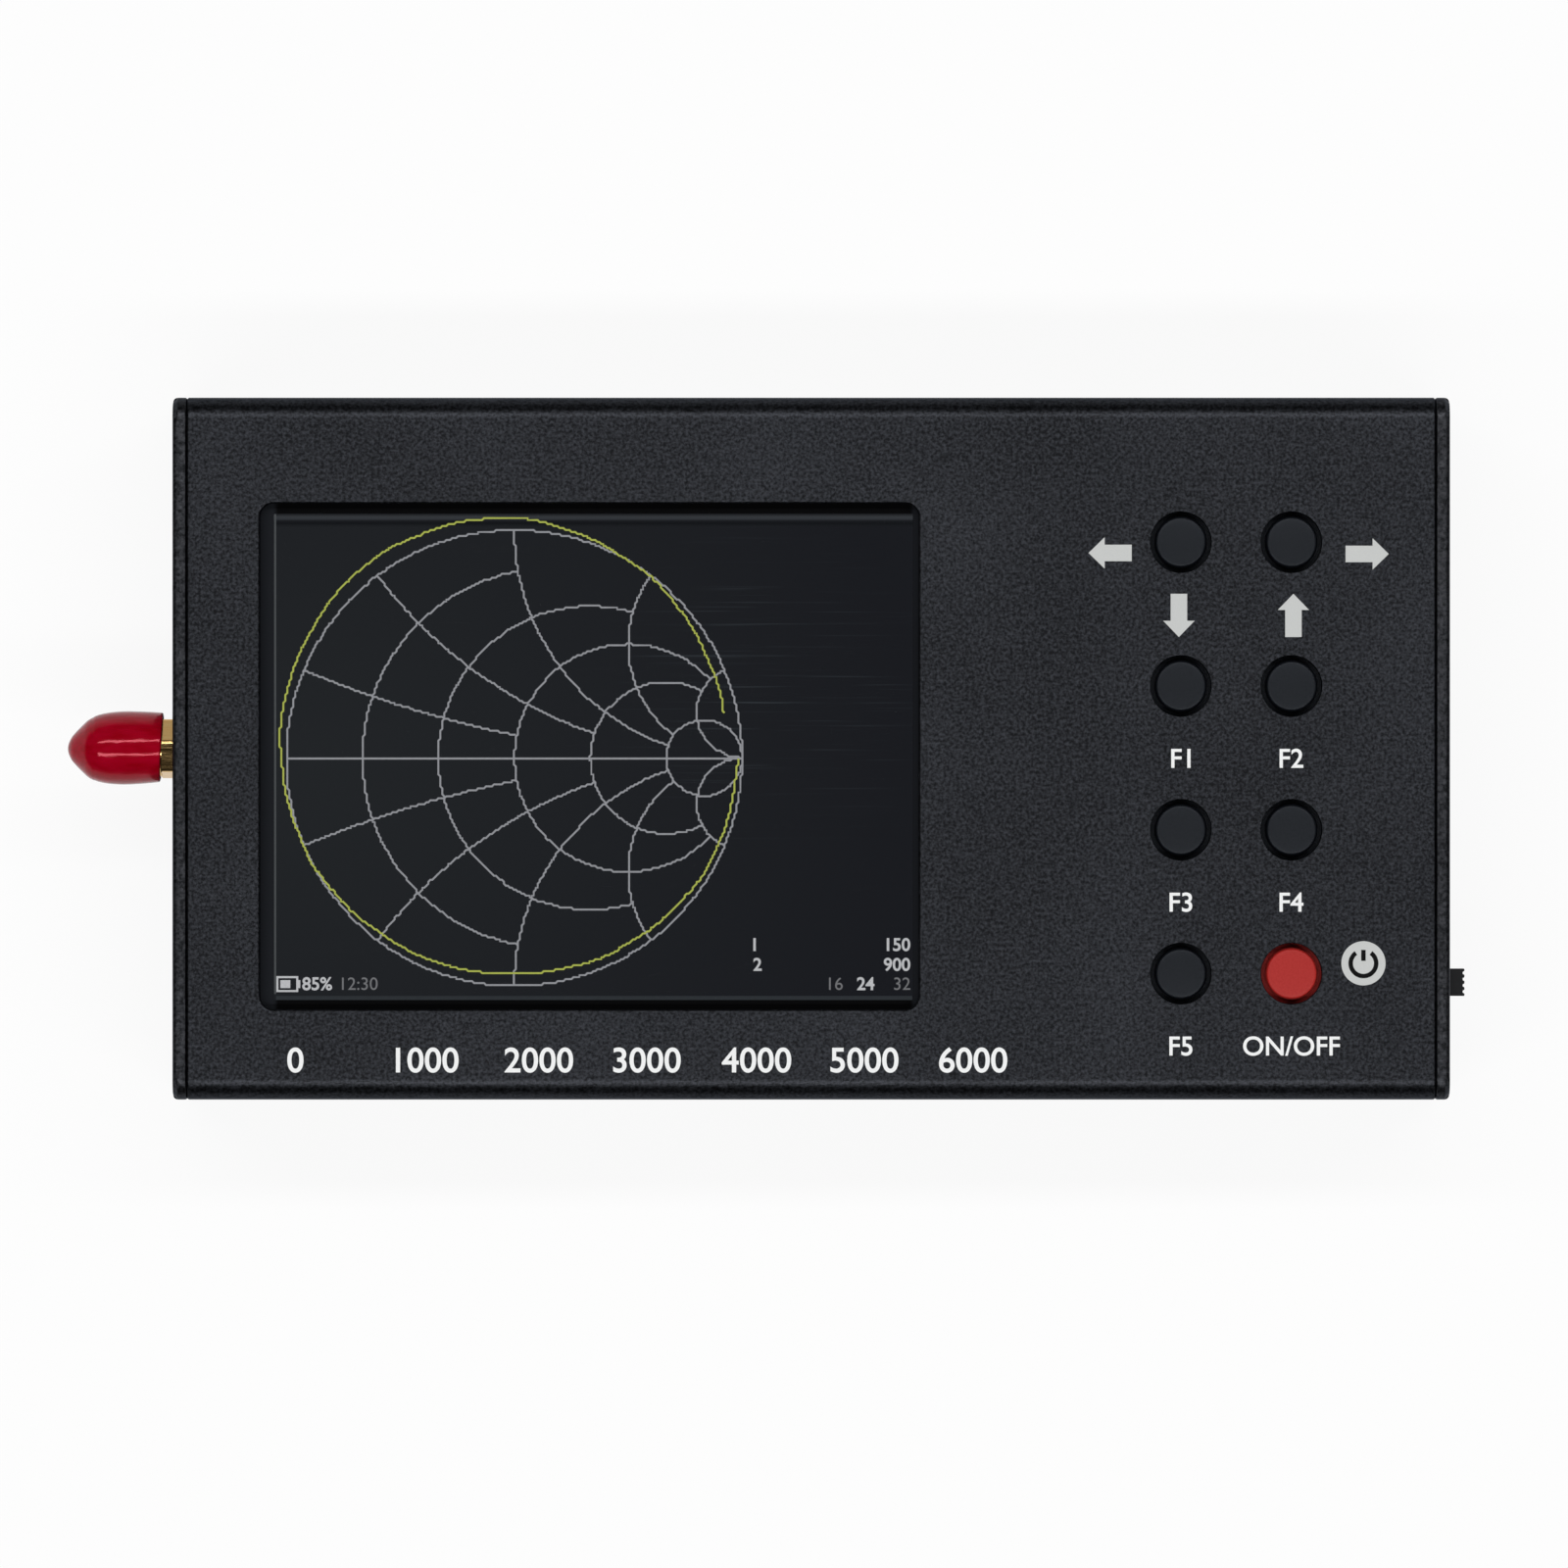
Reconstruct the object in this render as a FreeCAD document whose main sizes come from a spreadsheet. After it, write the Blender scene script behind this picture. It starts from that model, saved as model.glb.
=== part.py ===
import FreeCAD, Part
import math
import os
import re
import Sketcher

# Hand-held antenna analyzer, lying on its back with the display up.
# Frame: X along the case towards the switch end, Y across it towards the top of the display,
# Z up; the origin is the middle of the rear face that the case rests on. Millimetres.

sizes = {
    # Case: two extruded aluminium halves between two flat end plates. Its length, width and
    # height follow from what it holds and the gaps round that.
    "wall": 1.6,
    "corner_radius": 2.15,           # long outer edges
    "plate_thickness": 1.4,
    "rim_bevel": 0.2,                # broken edges at the ends of the halves
    "plate_bevel": 0.5,              # outer rim of the plates
    "seam_height": 12.0,             # where the halves meet, above the rest face
    "tongue_height": 1.2,            # the front half's tongue inside the rear half's wall
    "tongue_thickness": 0.75,
    "tongue_clearance": 0.1,
    # Screw channels in the four corners of the extrusion.
    "channel_inset": 3.9,            # screw axis from the outer faces
    "channel_wall": 1.15,            # round the bore
    "channel_thread_gap": 0.05,      # bore over the screw
    "channel_mouth": 1.1,            # the open side of each channel
    # Countersunk end plate screws.
    "screw_radius": 1.2,
    "screw_length": 8.0,
    "screw_head_radius": 1.9,
    "screw_hole_clearance": 0.1,
    # Ribs that hold the board by its long edges.
    "rib_depth": 1.2,
    "rib_thickness": 1.0,
    "slot_clearance": 0.1,
    # Display: 3.2 inch cell, its tray and the touch panel behind the window.
    "active_width": 64.8,
    "active_height": 48.6,
    "display_jack_gap": 0.4,         # display tray from the jack's legs
    "display_top_gap": 6.95,         # display tray from the side walls
    "display_bottom_gap": 6.15,
    "window_margin_left": 1.6,       # window edge from the picture
    "window_margin_right": 0.65,
    "window_margin_top": 1.05,
    "window_margin_bottom": 1.85,
    "window_radius": 1.4,
    "window_bevel": 0.15,            # broken edge of the window
    "gasket_thickness": 0.4,
    "gasket_border": 1.1,            # gasket beyond the window edge
    "gasket_gap_left": 0.25,         # gasket's inner edge from the picture
    "gasket_gap_right": 0.05,
    "gasket_gap_top": 0.05,
    "gasket_gap_bottom": 0.9,
    "module_margin_left": 3.9,       # display tray edge from the picture
    "module_margin_right": 9.0,
    "module_margin_side": 3.3,
    "touch_inset": 0.3,              # touch panel edge inside the tray's
    "touch_thickness": 1.1,
    "cell_border": 1.7,              # glass beyond the picture, three sides
    "cell_ledge": 5.5,               # glass beyond the picture on the flex side
    "cell_thickness": 1.2,
    "cell_clearance": 0.1,
    "backlight_thickness": 1.9,
    "tape_thickness": 0.3,
    "tape_inset": 2.0,
    "flex_width": 27.0,
    "flex_thickness": 0.2,
    "flex_reach": 6.0,               # from the tray to the connector
    "connector_length": 4.0,
    "connector_height": 1.2,
    "connector_side": 1.5,           # connector beyond the flex, each side
    # Main board, its screened radio corner and its larger parts.
    "board_thickness": 1.6,
    "board_end_gap": 0.2,
    "board_side_gap": 0.2,
    "shield_gap": 2.8,               # shield from the jack's legs
    "shield_length": 22.0,
    "shield_width": 28.0,
    "shield_height": 2.6,
    "sheet_thickness": 0.25,
    "lid_lip": 1.2,
    "chip_size": 4.0,
    "chip_height": 0.9,
    "chip_spacing": 7.5,
    "processor_end_gap": 14.4,       # processor from the board's edges
    "processor_side_gap": 17.0,
    "processor_size": 10.0,
    "processor_height": 1.4,
    # Keys: four rows of two, the rows spread evenly between the side walls.
    "key_connector_gap": 5.3,        # first column's switches from the flex connector
    "key_pitch_x": 11.25,
    "key_end_gap": 14.75,            # second column from the right plate
    "key_top_gap": 13.15,            # first and last row from the side walls
    "key_bottom_gap": 11.26,
    "cap_radius": 2.65,
    "cap_clearance": 0.45,           # cap in its hole
    "cap_proud": 0.6,
    "cap_skirt_gap": 0.5,            # cap above the switch, more than the key's travel
    "cap_roof": 1.4,
    "cap_grip": 0.02,                # cap's socket over the plunger, each side
    "switch_size": 6.0,
    "switch_base_height": 3.1,
    "switch_cover_thickness": 0.4,
    "switch_well": 4.8,
    "switch_well_depth": 2.0,
    "plunger_size": 2.8,             # square stem
    "plunger_flange": 4.0,
    "plunger_flange_thickness": 0.9,
    "plunger_clearance": 0.08,       # running fit in the cover
    "slide_gap": 0.02,               # a moving piece's stop from the face it rests against
    # Radio port: edge-mounted coaxial jack through the left plate.
    "port_y": 0.0,
    "port_radius": 3.175,            # over the thread and the collar's corners
    "port_hole_clearance": 0.325,
    "port_length": 6.9,              # beyond the plate
    "collar_length": 1.6,            # six-sided part beyond the plate
    "collar_turn": 17.0,             # degrees
    "port_bore_depth": 1.9,
    "insulator_radius": 2.1,
    "contact_radius": 0.63,
    "contact_tail": 0.9,             # thickness of the tail on the board
    "jack_flange": 6.35,
    "jack_flange_thickness": 1.7,
    "jack_flange_gap": 0.1,
    "jack_leg": 1.0,
    "jack_leg_length": 3.0,          # the contact's tail is as long
    "press_gap": 0.02,               # pressed pieces of the jack
    # Dust cap on the port.
    "collar_shown": 1.3,             # collar between the plate and the cap
    "dust_bore_clearance": 0.05,
    "dust_wall": 0.525,
    "dust_taper": 0.25,              # how much smaller the lip is than the middle
    "dust_taper_length": 1.5,
    "dust_end_gap": 0.3,
    "dust_nose_wall": 3.7,           # solid nose beyond the bore
    "dust_shoulder": 1.4,            # the nose starts this far down the bore
    "dust_tip_radius": 0.7,
    # Power slide switch under the board, its lever through the right plate.
    "lever_side_gap": 10.25,         # lever from the lower side wall
    "lever_travel": 2.0,
    "lever_width": 2.8,
    "lever_height": 1.5,
    "lever_proud": 1.9,              # beyond the plate
    "lever_clearance": 0.3,
    "lever_groove": 0.3,
    "lever_groove_depth": 0.18,
    "lever_groove_pitch": 0.64,
    "slide_length": 8.8,             # switch case along Y
    "slide_depth": 4.4,              # along X
    "slide_height": 4.6,
    "slide_wall": 0.35,
    "slide_plate_gap": 0.7,          # switch case behind the plate
    "slide_base_thickness": 1.2,
    "slider_width": 3.8,
    "slider_depth": 1.9,
    "slider_clearance": 0.05,        # slider in its case, above and below
    # Charging socket in the right plate.
    "usb_y": -6.0,
    "usb_width": 8.94,
    "usb_height": 3.26,
    "usb_length": 7.3,
    "usb_flat": 0.36,                # straight part between its rounded corners
    "usb_sheet": 0.3,
    "usb_recess": 0.3,               # socket's rim behind the plate's outer face
    "usb_clearance": 0.3,
    "usb_tongue_width": 6.69,
    "usb_tongue_height": 0.7,
    "usb_tongue_setback": 0.8,
    # Battery on the rear wall.
    "battery_end_gap": 33.6,         # battery from the left plate
    "battery_shield_gap": 2.15,      # battery under the shield's lid
    "battery_length": 50.0,
    "battery_width": 34.0,
    "battery_height": 9.5,
    "battery_radius": 2.0,
    "pad_thickness": 0.8,
    "pad_inset": 2.0,
    "lead_width": 2.8,               # twin lead, side by side
    "lead_thickness": 1.3,
    "lead_reach": 9.0,               # battery end to plug
    "plug_length": 6.0,
    "plug_width": 7.8,
    "plug_height": 3.6,
    "header_length": 5.0,
    "header_height": 5.4,
    "header_wall": 0.6,
    "overshoot": 1.0,                # cuts run this far past an open edge
}

doc = FreeCAD.newDocument("AntennaAnalyzer")
sheet = doc.addObject("Spreadsheet::Sheet", "Sizes")
for row, (name, value) in enumerate(sizes.items(), start=1):
    sheet.set(f"A{row}", name)
    sheet.set(f"B{row}", str(value))
    sheet.setAlias(f"B{row}", name)
doc.recompute()

parts = []


# ---- helpers ----

def formula(text):
    """Points every size named in text at its cell in the sheet."""
    return re.sub(r"[a-z]\w*", lambda word: "Sizes." + word[0] if word[0] in sizes else word[0], text)


def number(text):
    """The value of a formula in the sheet's sizes."""
    return float(sheet.evalExpression(formula(text)))


def new_body(label):
    body = doc.addObject("PartDesign::Body", label)
    body.Label = label
    body.Placement = FreeCAD.Placement()
    parts.append(body)
    return body


def rectangle(x_low, y_low, x_high, y_high):
    return [(x_low, y_low), (x_high, y_low), (x_high, y_high), (x_low, y_high)]


def circle(x, y, radius):
    return (x, y, radius)


def fix_point(sketch, geometry, point, x, y):
    """Holds a point of the sketch at the formulas x and y."""
    for kind, place in (("DistanceX", x), ("DistanceY", y)):
        number = sketch.addConstraint(Sketcher.Constraint(kind, -1, 1, geometry, point, 1.0))
        sketch.setExpression(f"Constraints[{number}]", formula(place))


def draw_circle(sketch, x, y, radius):
    ring = Part.Circle(FreeCAD.Vector(1, 1, 0), FreeCAD.Vector(0, 0, 1), 1)
    number = sketch.addGeometry(ring, False)
    fix_point(sketch, number, 3, x, y)
    size = sketch.addConstraint(Sketcher.Constraint("Radius", number, 1.0))
    sketch.setExpression(f"Constraints[{size}]", formula(radius))


def draw_polygon(sketch, corners):
    first = sketch.GeometryCount
    count = len(corners)
    turns = [0.4 + 2 * math.pi * i / count for i in range(count)]
    start = [FreeCAD.Vector(math.cos(a), math.sin(a), 0) for a in turns]
    for i in range(count):
        sketch.addGeometry(Part.LineSegment(start[i], start[(i + 1) % count]), False)
    for i in range(count):
        sketch.addConstraint(Sketcher.Constraint("Coincident", first + i, 2, first + (i + 1) % count, 1))
    for i, (x, y) in enumerate(corners):
        fix_point(sketch, first + i, 1, x, y)


def new_sketch(body, plane, offset, shapes=(), shift_y="0"):
    """A sketch parallel to an origin plane: XY looks up Z, YZ along X, XZ against Y."""
    sketch = body.newObject("Sketcher::SketchObject", f"{body.Name}_sketch")
    origin_plane = next(f for f in body.Origin.OriginFeatures if f.Role == f"{plane}_Plane")
    sketch.AttachmentSupport = [(origin_plane, "")]
    sketch.MapMode = "FlatFace"
    sketch.setExpression(".AttachmentOffset.Base.z", formula(offset))
    sketch.setExpression(".AttachmentOffset.Base.y", formula(shift_y))
    for shape in shapes:
        if isinstance(shape, tuple):
            draw_circle(sketch, *shape)
        else:
            draw_polygon(sketch, shape)
    return sketch


def pad(body, plane, offset, length, *shapes):
    """Adds the shapes, raised by length from the plane at offset."""
    feature = body.newObject("PartDesign::Pad", f"{body.Name}_pad")
    feature.Profile = new_sketch(body, plane, offset, shapes)
    feature.setExpression("Length", formula(length))
    doc.recompute()
    return feature


def pocket(body, plane, offset, length, *shapes):
    """Cuts the shapes away, over length from the plane at offset."""
    volume = body.Shape.Volume
    feature = body.newObject("PartDesign::Pocket", f"{body.Name}_pocket")
    feature.Profile = new_sketch(body, plane, offset, shapes)
    feature.setExpression("Length", formula(length))
    feature.Reversed = True
    doc.recompute()
    if not body.Shape.Volume < volume:
        raise RuntimeError(f"{body.Label}: a pocket cuts nothing")
    return feature


def dress(body, kind, size, chosen):
    """Fillets or chamfers the edges of the body that chosen() picks."""
    base = body.Tip
    edges = [f"Edge{i}" for i, edge in enumerate(base.Shape.Edges, start=1) if chosen(edge)]
    if not edges:
        raise RuntimeError(f"{body.Label}: no edge for a {kind}")
    feature = body.newObject(f"PartDesign::{kind}", f"{body.Name}_{kind.lower()}")
    feature.Base = (base, edges)
    feature.setExpression("Radius" if kind == "Fillet" else "Size", formula(size))
    doc.recompute()
    return feature


same = 1e-4                          # positions closer than this are one place


def near(one, other):
    return abs(one - other) < same


def runs_along(edge, axis):
    """True for a straight edge parallel to the axis, 0, 1 or 2."""
    if not isinstance(edge.Curve, Part.Line):
        return False
    return near(abs(edge.tangentAt(edge.FirstParameter)[axis]), 1.0)


def round_edge(edge, radius, axis, place):
    """True for a full circle of that radius whose plane crosses the axis at place."""
    if not isinstance(edge.Curve, Part.Circle) or not edge.isClosed():
        return False
    return near(edge.Curve.Radius, radius) and near(edge.CenterOfMass[axis], place)


# ---- levels and places that several pieces share ----

module_length = "(module_margin_left + active_width + module_margin_right)"
module_height = "(2 * module_margin_side + active_height)"
jack_reach = "(jack_flange_gap + jack_flange_thickness + jack_leg_length)"
key_reach = "(flex_reach + connector_length + key_connector_gap + switch_size / 2)"
shell_length = (f"({jack_reach} + display_jack_gap + {module_length} + {key_reach}"
                " + key_pitch_x + key_end_gap)")
shell_end = f"({shell_length} / 2)"
case_end = f"({shell_end} + plate_thickness)"
inner_half_width = f"((display_bottom_gap + {module_height} + display_top_gap) / 2)"
half_width = f"({inner_half_width} + wall)"

battery_low = "(wall + pad_thickness)"
shield_low = f"({battery_low} + battery_height + battery_shield_gap)"
board_bottom = f"({shield_low} + sheet_thickness + shield_height)"
board_top = f"({board_bottom} + board_thickness)"
display_bottom = f"({board_top} + tape_thickness)"
cell_bottom = f"({display_bottom} + backlight_thickness)"
cell_top = f"({cell_bottom} + cell_thickness)"
touch_top = f"({cell_top} + touch_thickness)"
panel_inside = f"({touch_top} + gasket_thickness)"
case_height = f"({panel_inside} + wall)"

board_half_width = f"({inner_half_width} - board_side_gap)"
board_end = f"({shell_end} - board_end_gap)"

port_z = f"({board_top} + contact_tail / 2)"
port_tip = f"(-{case_end} - port_length)"
jack_front = f"(-{shell_end} + jack_flange_gap)"
jack_back = f"({jack_front} + jack_flange_thickness)"
legs_end = f"({jack_back} + jack_leg_length)"

module_left = f"({legs_end} + display_jack_gap)"
module_right = f"({module_left} + {module_length})"
picture_left = f"({module_left} + module_margin_left)"
picture_right = f"({picture_left} + active_width)"
picture_low = f"(-{inner_half_width} + display_bottom_gap + module_margin_side)"
picture_high = f"({picture_low} + active_height)"
picture_y = f"({picture_low} + active_height / 2)"

channel_bore = "(screw_radius + channel_thread_gap)"
channel_radius = f"({channel_bore} + channel_wall)"
screw_y = f"({half_width} - channel_inset)"
screw_levels = ["channel_inset", f"({case_height} - channel_inset)"]


def around_picture(left, right, low, high):
    """A rectangle that stands off the picture by these four margins."""
    return rectangle(f"{picture_left} - {left}", f"{picture_low} - {low}",
                     f"{picture_right} + {right}", f"{picture_high} + {high}")


window = around_picture("window_margin_left", "window_margin_right",
                        "window_margin_bottom", "window_margin_top")
key_names = ["left", "right", "down", "up", "lower_left", "lower_right", "enter", "power"]
key_hole = "(cap_radius + cap_clearance)"
key_x = f"({module_right} + {key_reach})"
key_y = f"({inner_half_width} - key_top_gap)"
key_pitch_y = f"(({key_y} + {inner_half_width} - key_bottom_gap) / {len(key_names) // 2 - 1})"
key_places = [(f"({key_x} + {i % 2} * key_pitch_x)", f"({key_y} - {i // 2} * {key_pitch_y})")
              for i in range(len(key_names))]


# ---- case ----

def shell_half(label, low, high, screw_level):
    """One extruded half: outer form, hollow, and a screw channel in each corner."""
    half = new_body(label)
    front = high == case_height
    pad(half, "YZ", f"-{shell_end}", shell_length,
        rectangle(f"-{half_width}", low, half_width, high))
    face_z = number(high if front else low)
    dress(half, "Fillet", "corner_radius",
          lambda edge: runs_along(edge, 0) and near(edge.CenterOfMass.z, face_z))
    hollow_low = low if front else "wall"
    hollow_high = panel_inside if front else high
    pocket(half, "YZ", f"-{shell_end}", shell_length,
           rectangle(f"-{inner_half_width}", hollow_low, inner_half_width, hollow_high))
    corner_z = panel_inside if front else "wall"
    for side in ("-", ""):
        pad(half, "YZ", f"-{shell_end}", shell_length,
            rectangle(f"{side}{screw_y}", screw_level, f"{side}{inner_half_width}", corner_z))
    pad(half, "YZ", f"-{shell_end}", shell_length,
        *[circle(f"{side}{screw_y}", screw_level, channel_radius) for side in ("-", "")])
    pocket(half, "YZ", f"-{shell_end}", shell_length,
           *[circle(f"{side}{screw_y}", screw_level, channel_bore) for side in ("-", "")])
    pocket(half, "YZ", f"-{shell_end}", shell_length,
           *[rectangle(f"{side}({screw_y} - {channel_radius} - overshoot)",
                       f"{screw_level} - channel_mouth / 2",
                       f"{side}{screw_y}", f"{screw_level} + channel_mouth / 2") for side in ("-", "")])
    return half


def break_ends(half):
    """Bevels the outer outline of a half's two end faces."""
    end, side, top = number(shell_end), number(half_width), number(case_height)
    dress(half, "Chamfer", "rim_bevel", lambda edge: all(
        near(abs(point.X), end) and (near(abs(point.Y), side) or near(point.Z, 0) or near(point.Z, top))
        for point in edge.Vertexes) and near(edge.BoundBox.XLength, 0))


def front_shell():
    half = shell_half("front_shell", "seam_height", case_height, screw_levels[1])
    # Tongues along both sides drop inside the rear half.
    pad(half, "YZ", f"-{shell_end}", shell_length,
        *[rectangle(f"{side}{inner_half_width}", "seam_height - tongue_height",
                    f"{side}({inner_half_width} + tongue_thickness)", "seam_height")
          for side in ("-", "")])
    # Two ribs on each side wall: the board rests on the lower and slides in under the upper.
    for low in (f"{board_top} + slot_clearance", f"{board_bottom} - rib_thickness"):
        pad(half, "YZ", f"-{shell_end}", shell_length,
            *[rectangle(f"{side}({inner_half_width} - rib_depth)", low,
                        f"{side}{inner_half_width}", f"{low} + rib_thickness") for side in ("-", "")])
    break_ends(half)
    # Display window, its corners rounded and its rim broken, and the key holes.
    pocket(half, "XY", panel_inside, "wall", window)
    inside, outside = number(panel_inside), number(case_height)
    dress(half, "Fillet", "window_radius", lambda edge: runs_along(edge, 2)
          and near(edge.BoundBox.ZMin, inside) and near(edge.BoundBox.ZMax, outside))
    (left, low), (right, high) = [[number(place) for place in corner] for corner in (window[0], window[2])]
    hole = FreeCAD.BoundBox(left, low, inside, right, high, outside)
    hole.enlarge(same)
    dress(half, "Chamfer", "window_bevel", lambda edge: near(edge.BoundBox.ZMin, outside)
          and hole.isInside(edge.BoundBox))
    pocket(half, "XY", panel_inside, "wall", *[circle(x, y, key_hole) for x, y in key_places])
    return half


def rear_shell():
    half = shell_half("rear_shell", "0", "seam_height", screw_levels[0])
    # Rebates for the front half's tongues.
    pocket(half, "YZ", f"-{shell_end}", shell_length,
           *[rectangle(f"{side}({inner_half_width} - overshoot)",
                       "seam_height - tongue_height - tongue_clearance",
                       f"{side}({inner_half_width} + tongue_thickness + tongue_clearance)",
                       "seam_height + overshoot") for side in ("-", "")])
    break_ends(half)
    return half


def end_plate(label, side):
    """A flat plate on one end; side is -1 on the left and 1 on the right."""
    plate = new_body(label)
    outer = f"{side} * {case_end}"
    low = outer if side < 0 else shell_end
    pad(plate, "YZ", low, "plate_thickness", rectangle(f"-{half_width}", "0", half_width, case_height))
    dress(plate, "Fillet", "corner_radius", lambda edge: runs_along(edge, 0))
    outside = number(outer)
    dress(plate, "Chamfer", "plate_bevel", lambda edge: near(edge.BoundBox.XMin, outside)
          and near(edge.BoundBox.XMax, outside))
    # Screw holes, countersunk from outside.
    pocket(plate, "YZ", low, "plate_thickness",
           *[circle(f"{s}{screw_y}", level, "screw_radius + screw_hole_clearance")
             for s in ("-", "") for level in screw_levels])
    hole = number("screw_radius + screw_hole_clearance")
    dress(plate, "Chamfer", "screw_head_radius - screw_radius - screw_hole_clearance",
          lambda edge: round_edge(edge, hole, 0, outside))
    return plate


def left_end_plate():
    plate = end_plate("left_end_plate", -1)
    pocket(plate, "YZ", f"-{case_end}", "plate_thickness",
           circle("port_y", port_z, "port_radius + port_hole_clearance"))


def right_end_plate():
    plate = end_plate("right_end_plate", 1)
    # Slot for the lever over its whole travel.
    pocket(plate, "YZ", shell_end, "plate_thickness",
           rectangle(f"{lever_y} - lever_width / 2 - lever_clearance",
                     f"{lever_z} - lever_height / 2 - lever_clearance",
                     f"{lever_y} + lever_travel + lever_width / 2 + lever_clearance",
                     f"{lever_z} + lever_height / 2 + lever_clearance"))
    # Opening for the charging socket.
    pocket(plate, "YZ", shell_end, "plate_thickness",
           rectangle("usb_y - usb_width / 2 - usb_clearance", f"{usb_low} - usb_clearance",
                     "usb_y + usb_width / 2 + usb_clearance", f"{usb_high} + usb_clearance"))
    middle, reach = number("usb_y"), number("usb_width / 2 + usb_clearance")
    dress(plate, "Fillet", f"{usb_corner} + usb_clearance", lambda edge: runs_along(edge, 0)
          and near(abs(edge.CenterOfMass.y - middle), reach))


def plate_screws():
    """Countersunk screws, four in each end plate, all the same."""
    screws = new_body("plate_screws")
    places = [(f"{s}{screw_y}", level) for s in ("-", "") for level in screw_levels]
    head_depth = "(screw_head_radius - screw_radius)"
    for side in (-1, 1):
        cone = pad(screws, "YZ", f"{side} * {case_end}", head_depth,
                   *[circle(y, z, "screw_head_radius") for y, z in places])
        cone.Reversed = side > 0
        cone.TaperAngle = -45
        start = f"{side} * ({case_end} - {head_depth})"
        shank = pad(screws, "YZ", start, "screw_length", *[circle(y, z, "screw_radius") for y, z in places])
        shank.Reversed = side > 0
    doc.recompute()


# ---- display ----

def display_gasket():
    gasket = new_body("display_gasket")
    pad(gasket, "XY", touch_top, "gasket_thickness",
        around_picture("window_margin_left - gasket_border", "window_margin_right + gasket_border",
                       "window_margin_bottom - gasket_border", "window_margin_top + gasket_border"))
    pocket(gasket, "XY", touch_top, "gasket_thickness",
           around_picture("gasket_gap_left", "gasket_gap_right",
                          "gasket_gap_bottom", "gasket_gap_top"))


def touch_panel():
    pad(new_body("touch_panel"), "XY", cell_top, "touch_thickness",
        around_picture("module_margin_left + touch_inset", "module_margin_right - touch_inset",
                       "module_margin_side + touch_inset", "module_margin_side - touch_inset"))


def display_cell():
    pad(new_body("lcd_cell"), "XY", cell_bottom, "cell_thickness",
        around_picture("cell_border", "cell_ledge", "cell_border", "cell_border"))


def backlight_tray():
    """A shallow tray: the light guide's floor with a rim round the cell."""
    tray = new_body("lcd_backlight")
    pad(tray, "XY", display_bottom, "backlight_thickness + cell_thickness",
        around_picture("module_margin_left", "module_margin_right",
                       "module_margin_side", "module_margin_side"))
    pocket(tray, "XY", cell_bottom, "cell_thickness",
           around_picture("cell_border - cell_clearance", "cell_ledge + cell_clearance",
                          "cell_border - cell_clearance", "cell_border + cell_clearance"))


def display_tape():
    pad(new_body("display_tape"), "XY", board_top, "tape_thickness",
        around_picture("module_margin_left + tape_inset", "module_margin_right - tape_inset",
                       "module_margin_side + tape_inset", "module_margin_side - tape_inset"))


def display_flex():
    """Flat cable that steps down from the tray's end to the connector on the board."""
    flex = new_body("lcd_flex")
    high = f"({cell_bottom} - backlight_thickness / 2)"
    low = f"({board_top} + connector_height / 2)"
    middle = f"({module_right} + flex_reach / 2)"
    end = f"({module_right} + flex_reach)"
    pad(flex, "XZ", f"-({picture_y} + flex_width / 2)", "flex_width",
        [(module_right, high), (f"{middle} - flex_reach / 4", high), (f"{middle} + flex_reach / 4", low),
         (end, low), (end, f"{low} + flex_thickness"),
         (f"{middle} + flex_reach / 4 + flex_thickness / 2", f"{low} + flex_thickness"),
         (f"{middle} - flex_reach / 4 + flex_thickness / 2", f"{high} + flex_thickness"),
         (module_right, f"{high} + flex_thickness")])


def flex_connector():
    start = f"({module_right} + flex_reach)"
    pad(new_body("flex_connector"), "XY", board_top, "connector_height",
        rectangle(start, f"{picture_y} - flex_width / 2 - connector_side",
                  f"{start} + connector_length", f"{picture_y} + flex_width / 2 + connector_side"))


# ---- board ----

def main_board():
    """Board between the end plates, with a notch for the jack's flange."""
    board = new_body("main_board")
    pad(board, "XY", board_bottom, "board_thickness",
        rectangle(f"-{board_end}", f"-{board_half_width}", board_end, board_half_width))
    pocket(board, "XY", board_bottom, "board_thickness",
           rectangle(f"-{board_end} - overshoot", "port_y - jack_flange / 2 - slot_clearance",
                     jack_back, "port_y + jack_flange / 2 + slot_clearance"))


shield_x = f"({legs_end} + shield_gap + shield_length / 2)"


def shield_outline(grow):
    return rectangle(f"{shield_x} - shield_length / 2 - {grow}", f"port_y - shield_width / 2 - {grow}",
                     f"{shield_x} + shield_length / 2 + {grow}", f"port_y + shield_width / 2 + {grow}")


def shield_frame():
    frame = new_body("shield_frame")
    pad(frame, "XY", f"{board_bottom} - shield_height", "shield_height", shield_outline("0"))
    pocket(frame, "XY", f"{board_bottom} - shield_height", "shield_height",
           shield_outline("(-sheet_thickness)"))


def shield_lid():
    lid = new_body("shield_lid")
    pad(lid, "XY", shield_low, "sheet_thickness + lid_lip", shield_outline("(press_gap + sheet_thickness)"))
    pocket(lid, "XY", f"{shield_low} + sheet_thickness", "lid_lip", shield_outline("press_gap"))


def square(x, y, size):
    return rectangle(f"{x} - {size} / 2", f"{y} - {size} / 2", f"{x} + {size} / 2", f"{y} + {size} / 2")


def radio_chips():
    pad(new_body("radio_chips"), "XY", f"{board_bottom} - chip_height", "chip_height",
        *[square(f"({shield_x} + {i} * chip_spacing)", "port_y", "chip_size") for i in (-1, 0, 1)])


def processor():
    pad(new_body("main_processor"), "XY", f"{board_bottom} - processor_height", "processor_height",
        square(f"({board_end} - processor_end_gap - processor_size / 2)",
               f"({board_half_width} - processor_side_gap - processor_size / 2)", "processor_size"))


# ---- keys ----

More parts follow.
